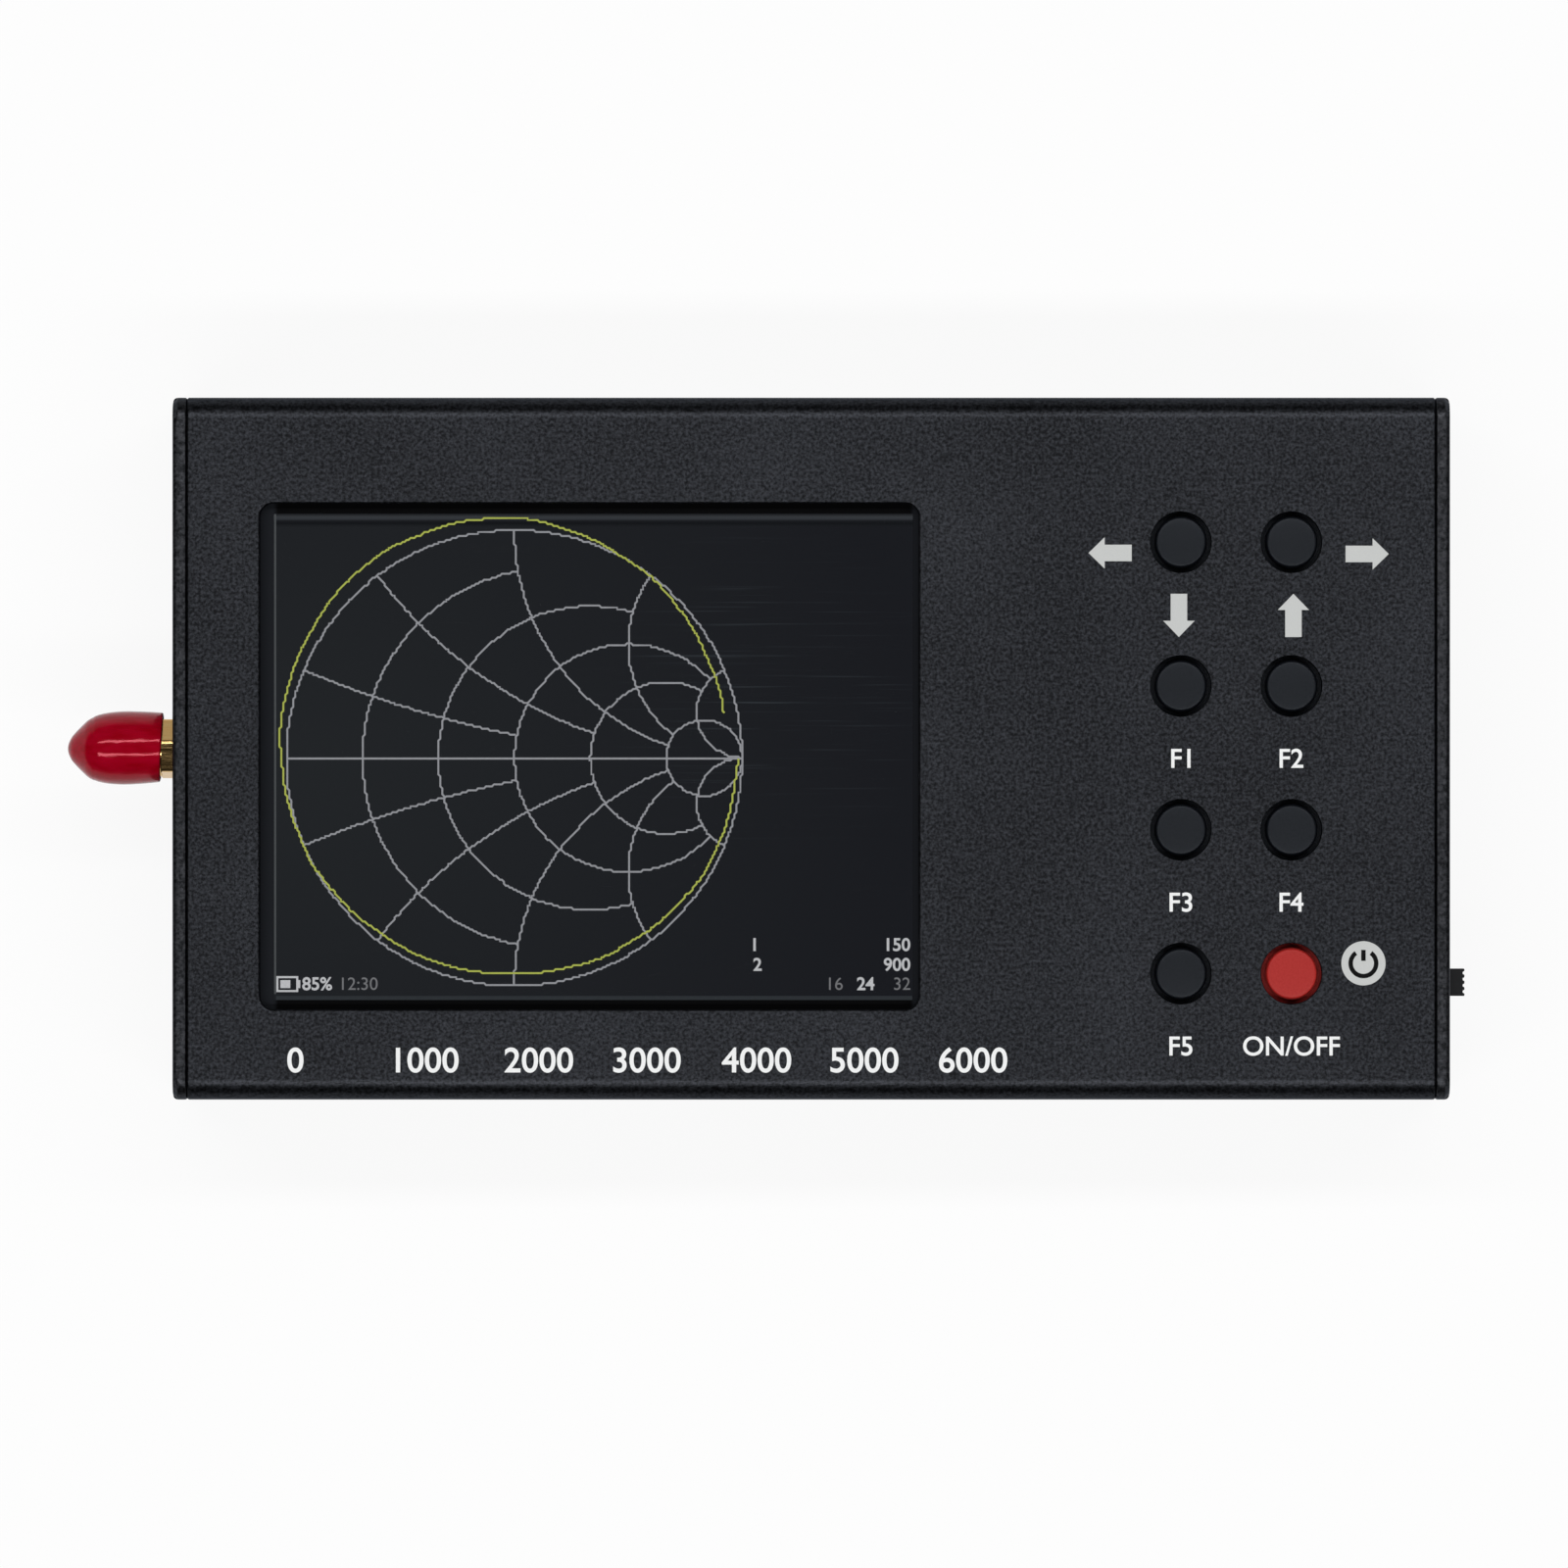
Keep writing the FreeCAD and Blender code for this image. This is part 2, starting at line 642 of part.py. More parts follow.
switch_top = f"({board_top} + switch_base_height + switch_cover_thickness)"
cover_bottom = f"({board_top} + switch_base_height)"
cap_bottom = f"({switch_top} + cap_skirt_gap)"
cap_top = f"({case_height} + cap_proud)"
plunger_top = f"({cap_top} - cap_roof)"


def switch_bases():
    """Square switch bodies on the board, each with a well for its plunger."""
    bases = new_body("key_switch_bases")
    pad(bases, "XY", board_top, "switch_base_height", *[square(x, y, "switch_size") for x, y in key_places])
    pocket(bases, "XY", f"{cover_bottom} - switch_well_depth", "switch_well_depth",
           *[square(x, y, "switch_well") for x, y in key_places])


def switch_covers():
    covers = new_body("key_switch_covers")
    pad(covers, "XY", cover_bottom, "switch_cover_thickness",
        *[square(x, y, "switch_size") for x, y in key_places])
    pocket(covers, "XY", cover_bottom, "switch_cover_thickness",
           *[square(x, y, "(plunger_size + 2 * plunger_clearance)") for x, y in key_places])


def at_key(body, place):
    """Moves a piece drawn about the Z axis to its key."""
    body.setExpression(".Placement.Base.x", formula(place[0]))
    body.setExpression(".Placement.Base.y", formula(place[1]))


def key_plunger(name, place):
    """Square stem with a flange that the switch's cover holds in."""
    plunger = new_body(f"key_{name}_plunger")
    flange_low = f"({cover_bottom} - slide_gap - plunger_flange_thickness)"
    pad(plunger, "XY", flange_low, f"{plunger_top} - {flange_low}", square("0", "0", "plunger_size"))
    pad(plunger, "XY", flange_low, "plunger_flange_thickness", square("0", "0", "plunger_flange"))
    at_key(plunger, place)


def key_cap(name, place):
    """A round cap with a square socket for the plunger underneath."""
    cap = new_body(f"key_{name}_cap")
    pad(cap, "XY", cap_bottom, f"{cap_top} - {cap_bottom}", circle("0", "0", "cap_radius"))
    pocket(cap, "XY", cap_bottom, f"{plunger_top} - {cap_bottom}",
           square("0", "0", "(plunger_size + 2 * cap_grip)"))
    at_key(cap, place)


# ---- radio port and its dust cap ----

def at_port(radius):
    return circle("port_y", port_z, radius)


def jack_body():
    """Threaded barrel, six-sided collar, square flange and the legs that straddle the board."""
    jack = new_body("port_jack")
    collar_start = f"(-{case_end} - collar_length)"
    pad(jack, "YZ", port_tip, "port_length - collar_length", at_port("port_radius"))
    turns = [f"({60 * i} + collar_turn)" for i in range(6)]
    hexagon = [(f"port_y + port_radius * cos({turn})", f"{port_z} + port_radius * sin({turn})")
               for turn in turns]
    pad(jack, "YZ", collar_start, f"{jack_front} - {collar_start}", hexagon)
    flange = rectangle("port_y - jack_flange / 2", f"{port_z} - jack_flange / 2",
                       "port_y + jack_flange / 2", f"{port_z} + jack_flange / 2")
    pad(jack, "YZ", jack_front, "jack_flange_thickness", flange)
    for low in (board_top, f"({board_bottom} - jack_leg)"):
        pad(jack, "YZ", jack_back, "jack_leg_length",
            *[rectangle(f"port_y {side} jack_flange / 2", low,
                        f"port_y {side} (jack_flange / 2 - jack_leg)", f"{low} + jack_leg")
              for side in "-+"])
    pocket(jack, "YZ", port_tip, f"{jack_back} - {port_tip}", at_port("insulator_radius"))


def jack_insulator():
    insulator = new_body("port_insulator")
    start = f"({port_tip} + port_bore_depth)"
    pad(insulator, "YZ", start, f"{jack_back} - {start}", at_port("insulator_radius - press_gap"))
    pocket(insulator, "YZ", start, f"{jack_back} - {start}", at_port("contact_radius + press_gap"))


def jack_contact():
    """Centre socket of the jack and its tail on the board."""
    contact = new_body("port_contact")
    start = f"({port_tip} + port_bore_depth)"
    pad(contact, "YZ", start, f"{jack_back} - {start}", at_port("contact_radius"))
    pad(contact, "YZ", jack_back, "jack_leg_length", square("port_y", port_z, "contact_tail"))


def dust_cap():
    """A turned cap, bored for the thread, that widens from its lip to a pointed nose."""
    cap = new_body("dust_cap")
    lip = f"(-{case_end} - collar_shown)"
    bore_end = f"({port_tip} - dust_end_gap)"
    tip = f"({bore_end} - dust_nose_wall)"
    bore = "(port_radius + dust_bore_clearance)"
    widest = f"({bore} + dust_wall)"
    # The nose follows one arc from the tip's edge, level where it meets the widest ring.
    rise = f"({widest} - dust_tip_radius)"
    nose_length = "(dust_nose_wall + dust_shoulder)"
    bow = f"(({nose_length} ^ 2 + {rise} ^ 2) / (2 * {rise}))"
    nose = [(f"{tip} + {share} * {nose_length}",
             f"{widest} - {bow} + sqrt({bow} ^ 2 - ({1 - share} * {nose_length}) ^ 2)")
            for share in (0, 0.5, 1)]
    turned = cap.newObject("PartDesign::Revolution", "dust_cap_turned")
    turned.Profile = new_sketch(cap, "XY", port_z, shift_y="port_y", shapes=[
        nose + [(f"{lip} - dust_taper_length", widest), (lip, f"{widest} - dust_taper"), (lip, bore),
                (bore_end, bore), (bore_end, "0"), (tip, "0")]])
    turned.ReferenceAxis = (turned.Profile[0], ["H_Axis"])
    turned.Angle = 360
    doc.recompute()


# ---- power slide switch ----

slide_front = f"({shell_end} - slide_plate_gap)"
slide_back = f"({slide_front} - slide_depth)"
lever_y = f"(-{inner_half_width} + lever_side_gap)"
slide_y = f"({lever_y} + lever_travel / 2)"
lever_z = f"({board_bottom} - slide_height / 2)"


def slide_box(inset):
    return rectangle(f"{slide_y} - slide_length / 2 + {inset}", f"{lever_z} - slide_height / 2 + {inset}",
                     f"{slide_y} + slide_length / 2 - {inset}", f"{lever_z} + slide_height / 2 - {inset}")


def slide_switch_case():
    """Folded steel case, open at the back, with a slot in front for the lever."""
    case = new_body("slide_switch_case")
    pad(case, "YZ", slide_back, "slide_depth", slide_box("0"))
    pocket(case, "YZ", slide_back, "slide_depth - slide_wall", slide_box("slide_wall"))
    pocket(case, "YZ", f"{slide_front} - slide_wall", "slide_wall",
           rectangle(f"{lever_y} - lever_width / 2 - lever_clearance",
                     f"{lever_z} - lever_height / 2 - lever_clearance",
                     f"{lever_y} + lever_travel + lever_width / 2 + lever_clearance",
                     f"{lever_z} + lever_height / 2 + lever_clearance"))


def slide_switch_base():
    pad(new_body("slide_switch_base"), "YZ", slide_back, "slide_base_thickness",
        slide_box("(slide_wall + press_gap)"))


def slide_switch_lever():
    """Slider block inside the case and the ribbed lever that stands out of the plate."""
    lever = new_body("slide_switch_lever")
    block_front = f"({slide_front} - slide_wall - slide_gap)"
    block_half_height = "(slide_height / 2 - slide_wall - slider_clearance)"
    lever_tip = f"({case_end} + lever_proud)"
    pad(lever, "YZ", f"{block_front} - slider_depth", "slider_depth",
        rectangle(f"{lever_y} - slider_width / 2", f"{lever_z} - {block_half_height}",
                  f"{lever_y} + slider_width / 2", f"{lever_z} + {block_half_height}"))
    pad(lever, "YZ", block_front, f"{lever_tip} - {block_front}",
        rectangle(f"{lever_y} - lever_width / 2", f"{lever_z} - lever_height / 2",
                  f"{lever_y} + lever_width / 2", f"{lever_z} + lever_height / 2"))
    grooves = [f"({lever_y} + {i} * lever_groove_pitch)" for i in (-1.5, -0.5, 0.5, 1.5)]
    pocket(lever, "XY", f"{lever_z} - lever_height / 2 - overshoot", "lever_height + 2 * overshoot",
           *[rectangle(f"{lever_tip} - lever_groove_depth", f"{y} - lever_groove / 2",
                       f"{lever_tip} + overshoot", f"{y} + lever_groove / 2") for y in grooves])


# ---- charging socket ----

usb_high = board_bottom
usb_low = f"({board_bottom} - usb_height)"
usb_front = f"({case_end} - usb_recess)"
usb_back = f"({usb_front} - usb_length)"
usb_corner = "((usb_height - usb_flat) / 2)"


def usb_box(inset):
    return rectangle(f"usb_y - usb_width / 2 + {inset}", f"{usb_low} + {inset}",
                     f"usb_y + usb_width / 2 - {inset}", f"{usb_high} - {inset}")


def usb_shell():
    """A drawn steel shell with rounded corners, closed at the back."""
    shell = new_body("usb_shell")
    pad(shell, "YZ", usb_back, "usb_length", usb_box("0"))
    pocket(shell, "YZ", f"{usb_back} + usb_sheet", "usb_length - usb_sheet", usb_box("usb_sheet"))
    middle = number("usb_y")
    for reach, radius in ((number("usb_width / 2 - usb_sheet"), f"{usb_corner} - usb_sheet"),
                          (number("usb_width / 2"), usb_corner)):
        dress(shell, "Fillet", radius, lambda edge, reach=reach: runs_along(edge, 0)
              and near(abs(edge.CenterOfMass.y - middle), reach))


def usb_tongue():
    middle = f"({board_bottom} - usb_height / 2)"
    pad(new_body("usb_tongue"), "YZ", f"{usb_back} + usb_sheet",
        "usb_length - usb_sheet - usb_tongue_setback",
        rectangle("usb_y - usb_tongue_width / 2", f"{middle} - usb_tongue_height / 2",
                  "usb_y + usb_tongue_width / 2", f"{middle} + usb_tongue_height / 2"))


# ---- battery ----

battery_start = f"(-{shell_end} + battery_end_gap)"
battery_end = f"({battery_start} + battery_length)"
plug_start = f"({battery_end} + lead_reach)"
plug_z = f"({board_bottom} - header_height / 2)"


def battery_outline(inset):
    return rectangle(f"{battery_start} + {inset}", f"-battery_width / 2 + {inset}",
                     f"{battery_end} - {inset}", f"battery_width / 2 - {inset}")


def battery():
    """Pouch cell with rounded long edges."""
    cell = new_body("battery_cell")
    pad(cell, "XY", battery_low, "battery_height", battery_outline("0"))
    dress(cell, "Fillet", "battery_radius", lambda edge: runs_along(edge, 0))
    pad(new_body("battery_pad"), "XY", "wall", "pad_thickness", battery_outline("pad_inset"))


def battery_plug():
    pad(new_body("battery_plug"), "YZ", plug_start, "plug_length",
        rectangle("-plug_width / 2", f"{plug_z} - plug_height / 2",
                  "plug_width / 2", f"{plug_z} + plug_height / 2"))


def battery_header():
    """Socket under the board that the plug goes into."""
    header = new_body("battery_header")
    start = f"({plug_start} + plug_length / 2)"
    pad(header, "YZ", start, "header_length",
        rectangle("-plug_width / 2 - slot_clearance - header_wall", f"{board_bottom} - header_height",
                  "plug_width / 2 + slot_clearance + header_wall", board_bottom))
    pocket(header, "YZ", start, "plug_length / 2 + slot_clearance",
           rectangle("-plug_width / 2 - slot_clearance", f"{plug_z} - plug_height / 2 - slot_clearance",
                     "plug_width / 2 + slot_clearance", f"{plug_z} + plug_height / 2 + slot_clearance"))


def battery_lead():
    """Twin lead that rises from the cell's end to the plug."""
    lead = new_body("battery_lead")
    low = f"({battery_low} + battery_height / 2 - lead_thickness / 2)"
    high = f"({plug_z} - lead_thickness / 2)"
    rise_start, rise_end = f"({battery_end} + lead_reach / 3)", f"({plug_start} - lead_reach / 3)"
    slope = "lead_thickness / 3"
    pad(lead, "XZ", "-lead_width / 2", "lead_width",
        [(battery_end, low), (f"{rise_start} + {slope}", low), (f"{rise_end} + {slope}", high),
         (plug_start, high), (plug_start, f"{high} + lead_thickness"),
         (f"{rise_end} - {slope}", f"{high} + lead_thickness"),
         (f"{rise_start} - {slope}", f"{low} + lead_thickness"),
         (battery_end, f"{low} + lead_thickness")])


# ---- build ----

front_shell()
rear_shell()
left_end_plate()
right_end_plate()
plate_screws()
display_gasket()
touch_panel()
display_cell()
backlight_tray()
display_tape()
display_flex()
flex_connector()
main_board()
shield_frame()
shield_lid()
radio_chips()
processor()
switch_bases()
switch_covers()
for key_name, key_place in zip(key_names, key_places):
    key_plunger(key_name, key_place)
    key_cap(key_name, key_place)
jack_body()
jack_insulator()
jack_contact()
dust_cap()
slide_switch_case()
slide_switch_base()
slide_switch_lever()
usb_shell()
usb_tongue()
battery()
battery_plug()
battery_header()
battery_lead()
doc.recompute()

for item in doc.Objects:
    if "Invalid" in item.State or "Error" in item.State:
        raise RuntimeError(f"{item.Label} did not build: {item.State}")
for part in parts:
    if part.Shape.isNull() or not part.Shape.isValid() or not part.Shape.Solids:
        raise RuntimeError(f"{part.Label} is not a sound solid")

os.makedirs("parts", exist_ok=True)
for part in parts:
    part.Shape.exportStep(f"parts/{part.Label}.step")
print(len(parts), "sub-parts written")
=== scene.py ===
import math

import bmesh
import bpy
from mathutils import Matrix, Vector


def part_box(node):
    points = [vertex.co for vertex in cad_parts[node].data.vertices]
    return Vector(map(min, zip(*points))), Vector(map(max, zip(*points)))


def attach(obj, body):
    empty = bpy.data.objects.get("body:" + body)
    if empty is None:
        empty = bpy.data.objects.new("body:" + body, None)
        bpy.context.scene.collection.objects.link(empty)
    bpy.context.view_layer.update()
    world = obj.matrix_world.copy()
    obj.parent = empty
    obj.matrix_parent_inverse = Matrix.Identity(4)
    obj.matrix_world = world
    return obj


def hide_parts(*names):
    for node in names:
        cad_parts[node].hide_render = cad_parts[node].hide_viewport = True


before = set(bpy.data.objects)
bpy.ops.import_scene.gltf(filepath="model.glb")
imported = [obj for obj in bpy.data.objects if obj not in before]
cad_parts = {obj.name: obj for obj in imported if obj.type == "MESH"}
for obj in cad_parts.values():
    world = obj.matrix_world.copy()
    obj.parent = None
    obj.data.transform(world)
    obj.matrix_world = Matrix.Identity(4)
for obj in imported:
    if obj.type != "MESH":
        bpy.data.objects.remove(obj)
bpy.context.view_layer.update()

# Hand-held antenna analyzer lying on its back, display up. Metres; X along the case towards the
# switch end, Y towards the top of the display, Z up.

mm = 0.001
sameSpot = 1e-6          # points closer than this count as one
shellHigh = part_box("front_shell")[1]
panelTop = shellHigh.z
cellLow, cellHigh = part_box("lcd_cell")
keyNames = ["left", "right", "down", "up", "lower_left", "lower_right", "enter", "power"]
picture = {"border": 1.7 * mm, "ledge": 5.5 * mm, "columns": 320, "topGap": 0.1 * mm,
           "lift": 0.012 * mm, "thickness": 0.012 * mm}
pictureLeft = cellLow.x + picture["border"]
pictureRight = cellHigh.x - picture["ledge"]
pictureBottom = cellLow.y + picture["border"]
pictureTop = cellHigh.y - picture["border"]
dot = (pictureRight - pictureLeft) / picture["columns"]


# Mesh helpers

def addObject(name, data):
    thing = bpy.data.objects.new(name, data)
    bpy.context.scene.collection.objects.link(thing)
    return thing


def bareMesh(bm, name):
    mesh = bpy.data.meshes.new(name)
    bm.to_mesh(mesh)
    bm.free()
    return mesh


def meshObject(bm, name, material, sharpAngle=35, body="housing"):
    # faces steeper than sharpAngle to each other keep a crisp edge; the rest are shaded smooth
    limit = math.radians(sharpAngle)
    for face in bm.faces:
        face.smooth = True
    for edge in bm.edges:
        if len(edge.link_faces) == 2 and edge.calc_face_angle(0) > limit:
            edge.smooth = False
    piece = addObject(name, bareMesh(bm, name))
    piece.data.materials.append(material)
    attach(piece, body)
    return piece


def evaluatedMesh(thing):
    depsgraph = bpy.context.evaluated_depsgraph_get()
    return bpy.data.meshes.new_from_object(thing.evaluated_get(depsgraph))


def curveToMesh(curve):
    # a curve or a text as a mesh; the curve itself goes
    holder = addObject(curve.name, curve)
    mesh = evaluatedMesh(holder)
    bpy.data.objects.remove(holder)
    bpy.data.curves.remove(curve)
    return mesh


def addBox(bm, low, high):
    size = Vector(high) - Vector(low)
    middle = (Vector(high) + Vector(low)) / 2
    place = Matrix.Translation(middle) @ Matrix.Diagonal((*size, 1))
    return bmesh.ops.create_cube(bm, size=1, matrix=place)["verts"]


def spinProfile(bm, profile, centre, along, steps=96):
    # profile is (distance along the axis, radius); a ring is turned about the axis through centre
    side = Vector((0, 1, 0)) if abs(along[2]) > 0.5 else Vector((0, 0, 1))
    axis, centre = Vector(along), Vector(centre)
    verts = [bm.verts.new(centre + axis * place + side * radius) for place, radius in profile]
    edges = [bm.edges.new((verts[i], verts[i + 1])) for i in range(len(verts) - 1)]
    edges.append(bm.edges.new((verts[-1], verts[0])))
    bmesh.ops.spin(bm, geom=verts + edges, cent=centre, axis=axis, dvec=(0, 0, 0),
                   angle=2 * math.pi, steps=steps, use_merge=True, use_duplicate=False)
    bmesh.ops.remove_doubles(bm, verts=bm.verts, dist=sameSpot)
    bmesh.ops.recalc_face_normals(bm, faces=bm.faces)


def arcPoints(centre, radius, startAngle, endAngle, steps):
    # points of an arc in a profile, in degrees
    turns = [math.radians(startAngle + (endAngle - startAngle) * i / steps)
             for i in range(steps + 1)]
    return [(centre[0] + radius * math.cos(turn), centre[1] + radius * math.sin(turn))
            for turn in turns]


def smoothPath(points, steps):
    # a smooth curve through the points, with steps pieces between each two
    ends = [points[0]] + list(points) + [points[-1]]
    path = []
    for i in range(len(points) - 1):
        before, first, second, after = ends[i:i + 4]
        for step in range(steps):
            t = step / steps
            path.append(tuple(0.5 * (2 * q + (r - p) * t + (2 * p - 5 * q + 4 * r - s) * t ** 2
                                     + (3 * q - p - 3 * r + s) * t ** 3)
                              for p, q, r, s in zip(before, first, second, after)))
    return path + [points[-1]]


def mergedMesh(node):
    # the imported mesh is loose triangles; a merged copy can be shaped and shaded smooth
    bm = bmesh.new()
    bm.from_mesh(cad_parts[node].data)
    bmesh.ops.remove_doubles(bm, verts=bm.verts, dist=sameSpot)
    bmesh.ops.dissolve_limit(bm, angle_limit=math.radians(0.2), verts=bm.verts, edges=bm.edges)
    return bm


# Material helpers

def hexColour(text, share=1.0):
    # sRGB hex to linear light, or to a share of that light
    parts = [int(text[i:i + 2], 16) / 255 for i in (1, 3, 5)]
    return tuple(share * (c / 12.92 if c <= 0.04045 else ((c + 0.055) / 1.055) ** 2.4)
                 for c in parts) + (1.0,)


def perMetre(*sizesMm):
    # how many pieces of each size fit into a metre
    return tuple(1 / (size * mm) for size in sizesMm)


def feed(node, inputs):
    # each input takes a value, or a link from another node's output
    for socket, value in inputs.items():
        if isinstance(value, bpy.types.NodeSocket):
            node.id_data.links.new(value, node.inputs[socket])
        else:
            node.inputs[socket].default_value = value


def addNode(tree, kind, inputs=None, stops=(), **settings):
    # stops are the places and colours along a colour ramp
    node = tree.nodes.new(f"ShaderNode{kind}")
    for name, value in settings.items():
        setattr(node, name, value)
    feed(node, inputs or {})
    if stops:
        marks = node.color_ramp.elements
        marks[0].position, marks[1].position = stops[0][0], stops[-1][0]
        marks[0].color, marks[1].color = stops[0][1], stops[-1][1]
        for place, colour in stops[1:-1]:
            marks.new(place).color = colour
    return node


def newMaterial(name, **values):
    # a Principled surface with its constants set on the shader's own sockets
    material = bpy.data.materials.new(name)
    material.use_nodes = True
    tree = material.node_tree
    shader = tree.nodes["Principled BSDF"]
    feed(shader, {socket.replace("_", " "): value for socket, value in values.items()})
    return material, tree, shader


def blastedAnodise(name, dark, light, grainMm, roughness):
    # Aluminium, bead blasted and anodised black: metal under a dyed skin, so it has no colour but
    # its dull, finely speckled shine, and turns only a little lighter at a slant. A real blast
    # leaves dents of about 0.05 mm; the grain is drawn coarser, so that it shows.
    material, tree, shader = newMaterial(name, Metallic=1.0, Specular_Tint=hexColour("#c6c8cc"))
    place = addNode(tree, "TexCoord").outputs["Object"]
    grain = addNode(tree, "TexNoise", {"Vector": place, "Scale": 1 / (grainMm * mm),
                                       "Detail": 3.0, "Roughness": 0.65}).outputs["Fac"]
    cloud = addNode(tree, "TexNoise", {"Vector": place, "Scale": 1 / (18.0 * mm),
                                       "Detail": 1.0, "Roughness": 0.6}).outputs["Fac"]
    mixed = addNode(tree, "Mix", {"Factor": 0.12, "A": grain, "B": cloud}, data_type="FLOAT")
    colour = addNode(tree, "ValToRGB", {"Fac": mixed.outputs["Result"]},
                     ((0.38, hexColour(dark)), (0.72, hexColour(light))))
    gloss = addNode(tree, "MapRange", {
        "Value": grain, "From Min": 0.3, "From Max": 0.7,
        "To Min": roughness - 0.05, "To Max": roughness + 0.05})
    relief = addNode(tree, "Bump", {"Height": grain, "Distance": 0.05 * mm, "Strength": 0.5})
    feed(shader, {"Base Color": colour.outputs["Color"], "Roughness": gloss.outputs["Result"],
                  "Normal": relief.outputs["Normal"]})
    return material


def grainedSurface(name, dark, light, roughness, swing, grainMm, heightMm, **values):
    # one fine grain carries the colour, the gloss and the relief together
    material, tree, shader = newMaterial(name, **values)
    place = addNode(tree, "TexCoord").outputs["Object"]
    place = addNode(tree, "Mapping", {"Vector": place, "Scale": perMetre(*grainMm)})
    grain = addNode(tree, "TexNoise", {"Vector": place.outputs["Vector"], "Scale": 1.0,
                                       "Detail": 2.0, "Roughness": 0.6}).outputs["Fac"]
    colour = addNode(tree, "ValToRGB", {"Fac": grain},
                     ((0.3, hexColour(dark)), (0.7, hexColour(light))))
    gloss = addNode(tree, "MapRange", {
        "Value": grain, "From Min": 0.3, "From Max": 0.7,
        "To Min": roughness - swing, "To Max": roughness + swing})
    relief = addNode(tree, "Bump", {"Height": grain, "Distance": heightMm * mm, "Strength": 1.0})
    feed(shader, {"Base Color": colour.outputs["Color"], "Roughness": gloss.outputs["Result"],
                  "Normal": relief.outputs["Normal"]})
    return material


def mouldedPlastic(name, dark, light, roughness, grainMm=0.12, heightMm=0.004, **values):
    # Injection-moulded plastic: an even colour with the mould's fine spark texture, which breaks up
    # its shine. The texture is drawn at about twice its real size, so that it shows.
    return grainedSurface(name, dark, light, roughness, 0.05, (grainMm,) * 3, heightMm, **values)


def platedMetal(name, dark, light, roughness, scratchMm=(2.0, 0.05, 0.05)):
    # Plated or bright metal: takes its light from what is round it, with scratches along one way,
    # or small dents where the three sizes are equal. Real scratches are about 0.01 mm wide; these
    # are drawn coarser, so that they show.
    return grainedSurface(name, dark, light, roughness, 0.06, scratchMm, 0.0016, Metallic=1.0)


def litColour(name, colour):
    # Light that comes through the display: the same brightness whatever falls on it
    material, tree, shader = newMaterial(name, Base_Color=hexColour("#000000"), Roughness=0.6,
                                         Specular_IOR_Level=0.0, Emission_Strength=1.0)
    place = addNode(tree, "TexCoord").outputs["Object"]
    field = addNode(tree, "TexNoise", {"Vector": place, "Scale": 1 / (0.4 * mm),
                                       "Detail": 1.0, "Roughness": 0.6}).outputs["Fac"]
    glow = addNode(tree, "ValToRGB", {"Fac": field},
                   ((0.3, hexColour(colour, 0.93)), (0.7, hexColour(colour))))
    feed(shader, {"Emission Color": glow.outputs["Color"]})
    return material


def makeVinyl():
    # Dipped PVC, red: glossy but slightly wavy skin, with light sinking a little way in
    material, tree, shader = newMaterial(
        "dippedVinylRed", Roughness=0.1, Specular_IOR_Level=0.41,
        Specular_Tint=hexColour("#ff8c9a"), Subsurface_Weight=0.06, Subsurface_Scale=0.5 * mm,
        Subsurface_Radius=(1.0, 0.15, 0.12))
    place = addNode(tree, "TexCoord").outputs["Object"]
    place = addNode(tree, "Mapping", {"Vector": place, "Scale": perMetre(2.6, 0.8, 0.8)})
    wave = addNode(tree, "TexNoise", {"Vector": place.outputs["Vector"], "Scale": 1.0,
                                      "Detail": 1.0, "Roughness": 0.6}).outputs["Fac"]
    colour = addNode(tree, "ValToRGB", {"Fac": wave},
                     ((0.3, hexColour("#8e0012")), (0.7, hexColour("#9e0420"))))
    relief = addNode(tree, "Bump", {"Height": wave, "Distance": 0.08 * mm, "Strength": 0.35})
    feed(shader, {"Base Color": colour.outputs["Color"], "Normal": relief.outputs["Normal"]})
    return material


def makeGlass():
    # Touch panel: clear glass with a smooth face, wiped but not spotless, so reflections blur a
    # little in long smears
    material, tree, shader = newMaterial("touchGlass", Base_Color=hexColour("#f4f8f8"), IOR=1.5,
                                         Transmission_Weight=1.0)
    place = addNode(tree, "TexCoord").outputs["Object"]
    place = addNode(tree, "Mapping", {"Vector": place, "Scale": perMetre(26.0, 1.2, 5.0)})
    smear = addNode(tree, "TexNoise", {"Vector": place.outputs["Vector"], "Scale": 1.0,
                                       "Detail": 2.0, "Roughness": 0.6})
    gloss = addNode(tree, "MapRange", {"Value": smear.outputs["Fac"], "From Min": 0.5,
                                       "From Max": 0.8, "To Min": 0.0, "To Max": 0.05})
    feed(shader, {"Roughness": gloss.outputs["Result"]})
    return material


# a painted reflection of the window's edge in the glass, along the upper edge of the picture:
# how far down it reaches in mm, and its colours from there up to the edge; glow and smear sheen
# in units of 24 mm on the display
paintedEdgeReflection = {"reach": 1.3, "blend": 0.75, "stops": (
    (0.0, "#1a1b1e"), (0.22, "#383a3e"), (0.38, "#33353a"), (0.52, "#1a1b1f"),
    (0.72, "#101216"), (0.85, "#15171a"))}
backGlow = {"unitMm": 24.0, "centre": (-2.15, -0.1, 0.0), "reach": 2.6}
smearSheen = {"sizesMm": (20.0, 0.3, 1000.0), "share": (0.6, 0.8), "centre": (-0.2, 0.24, 0.0),
           "fade": (0.1, 0.75)}


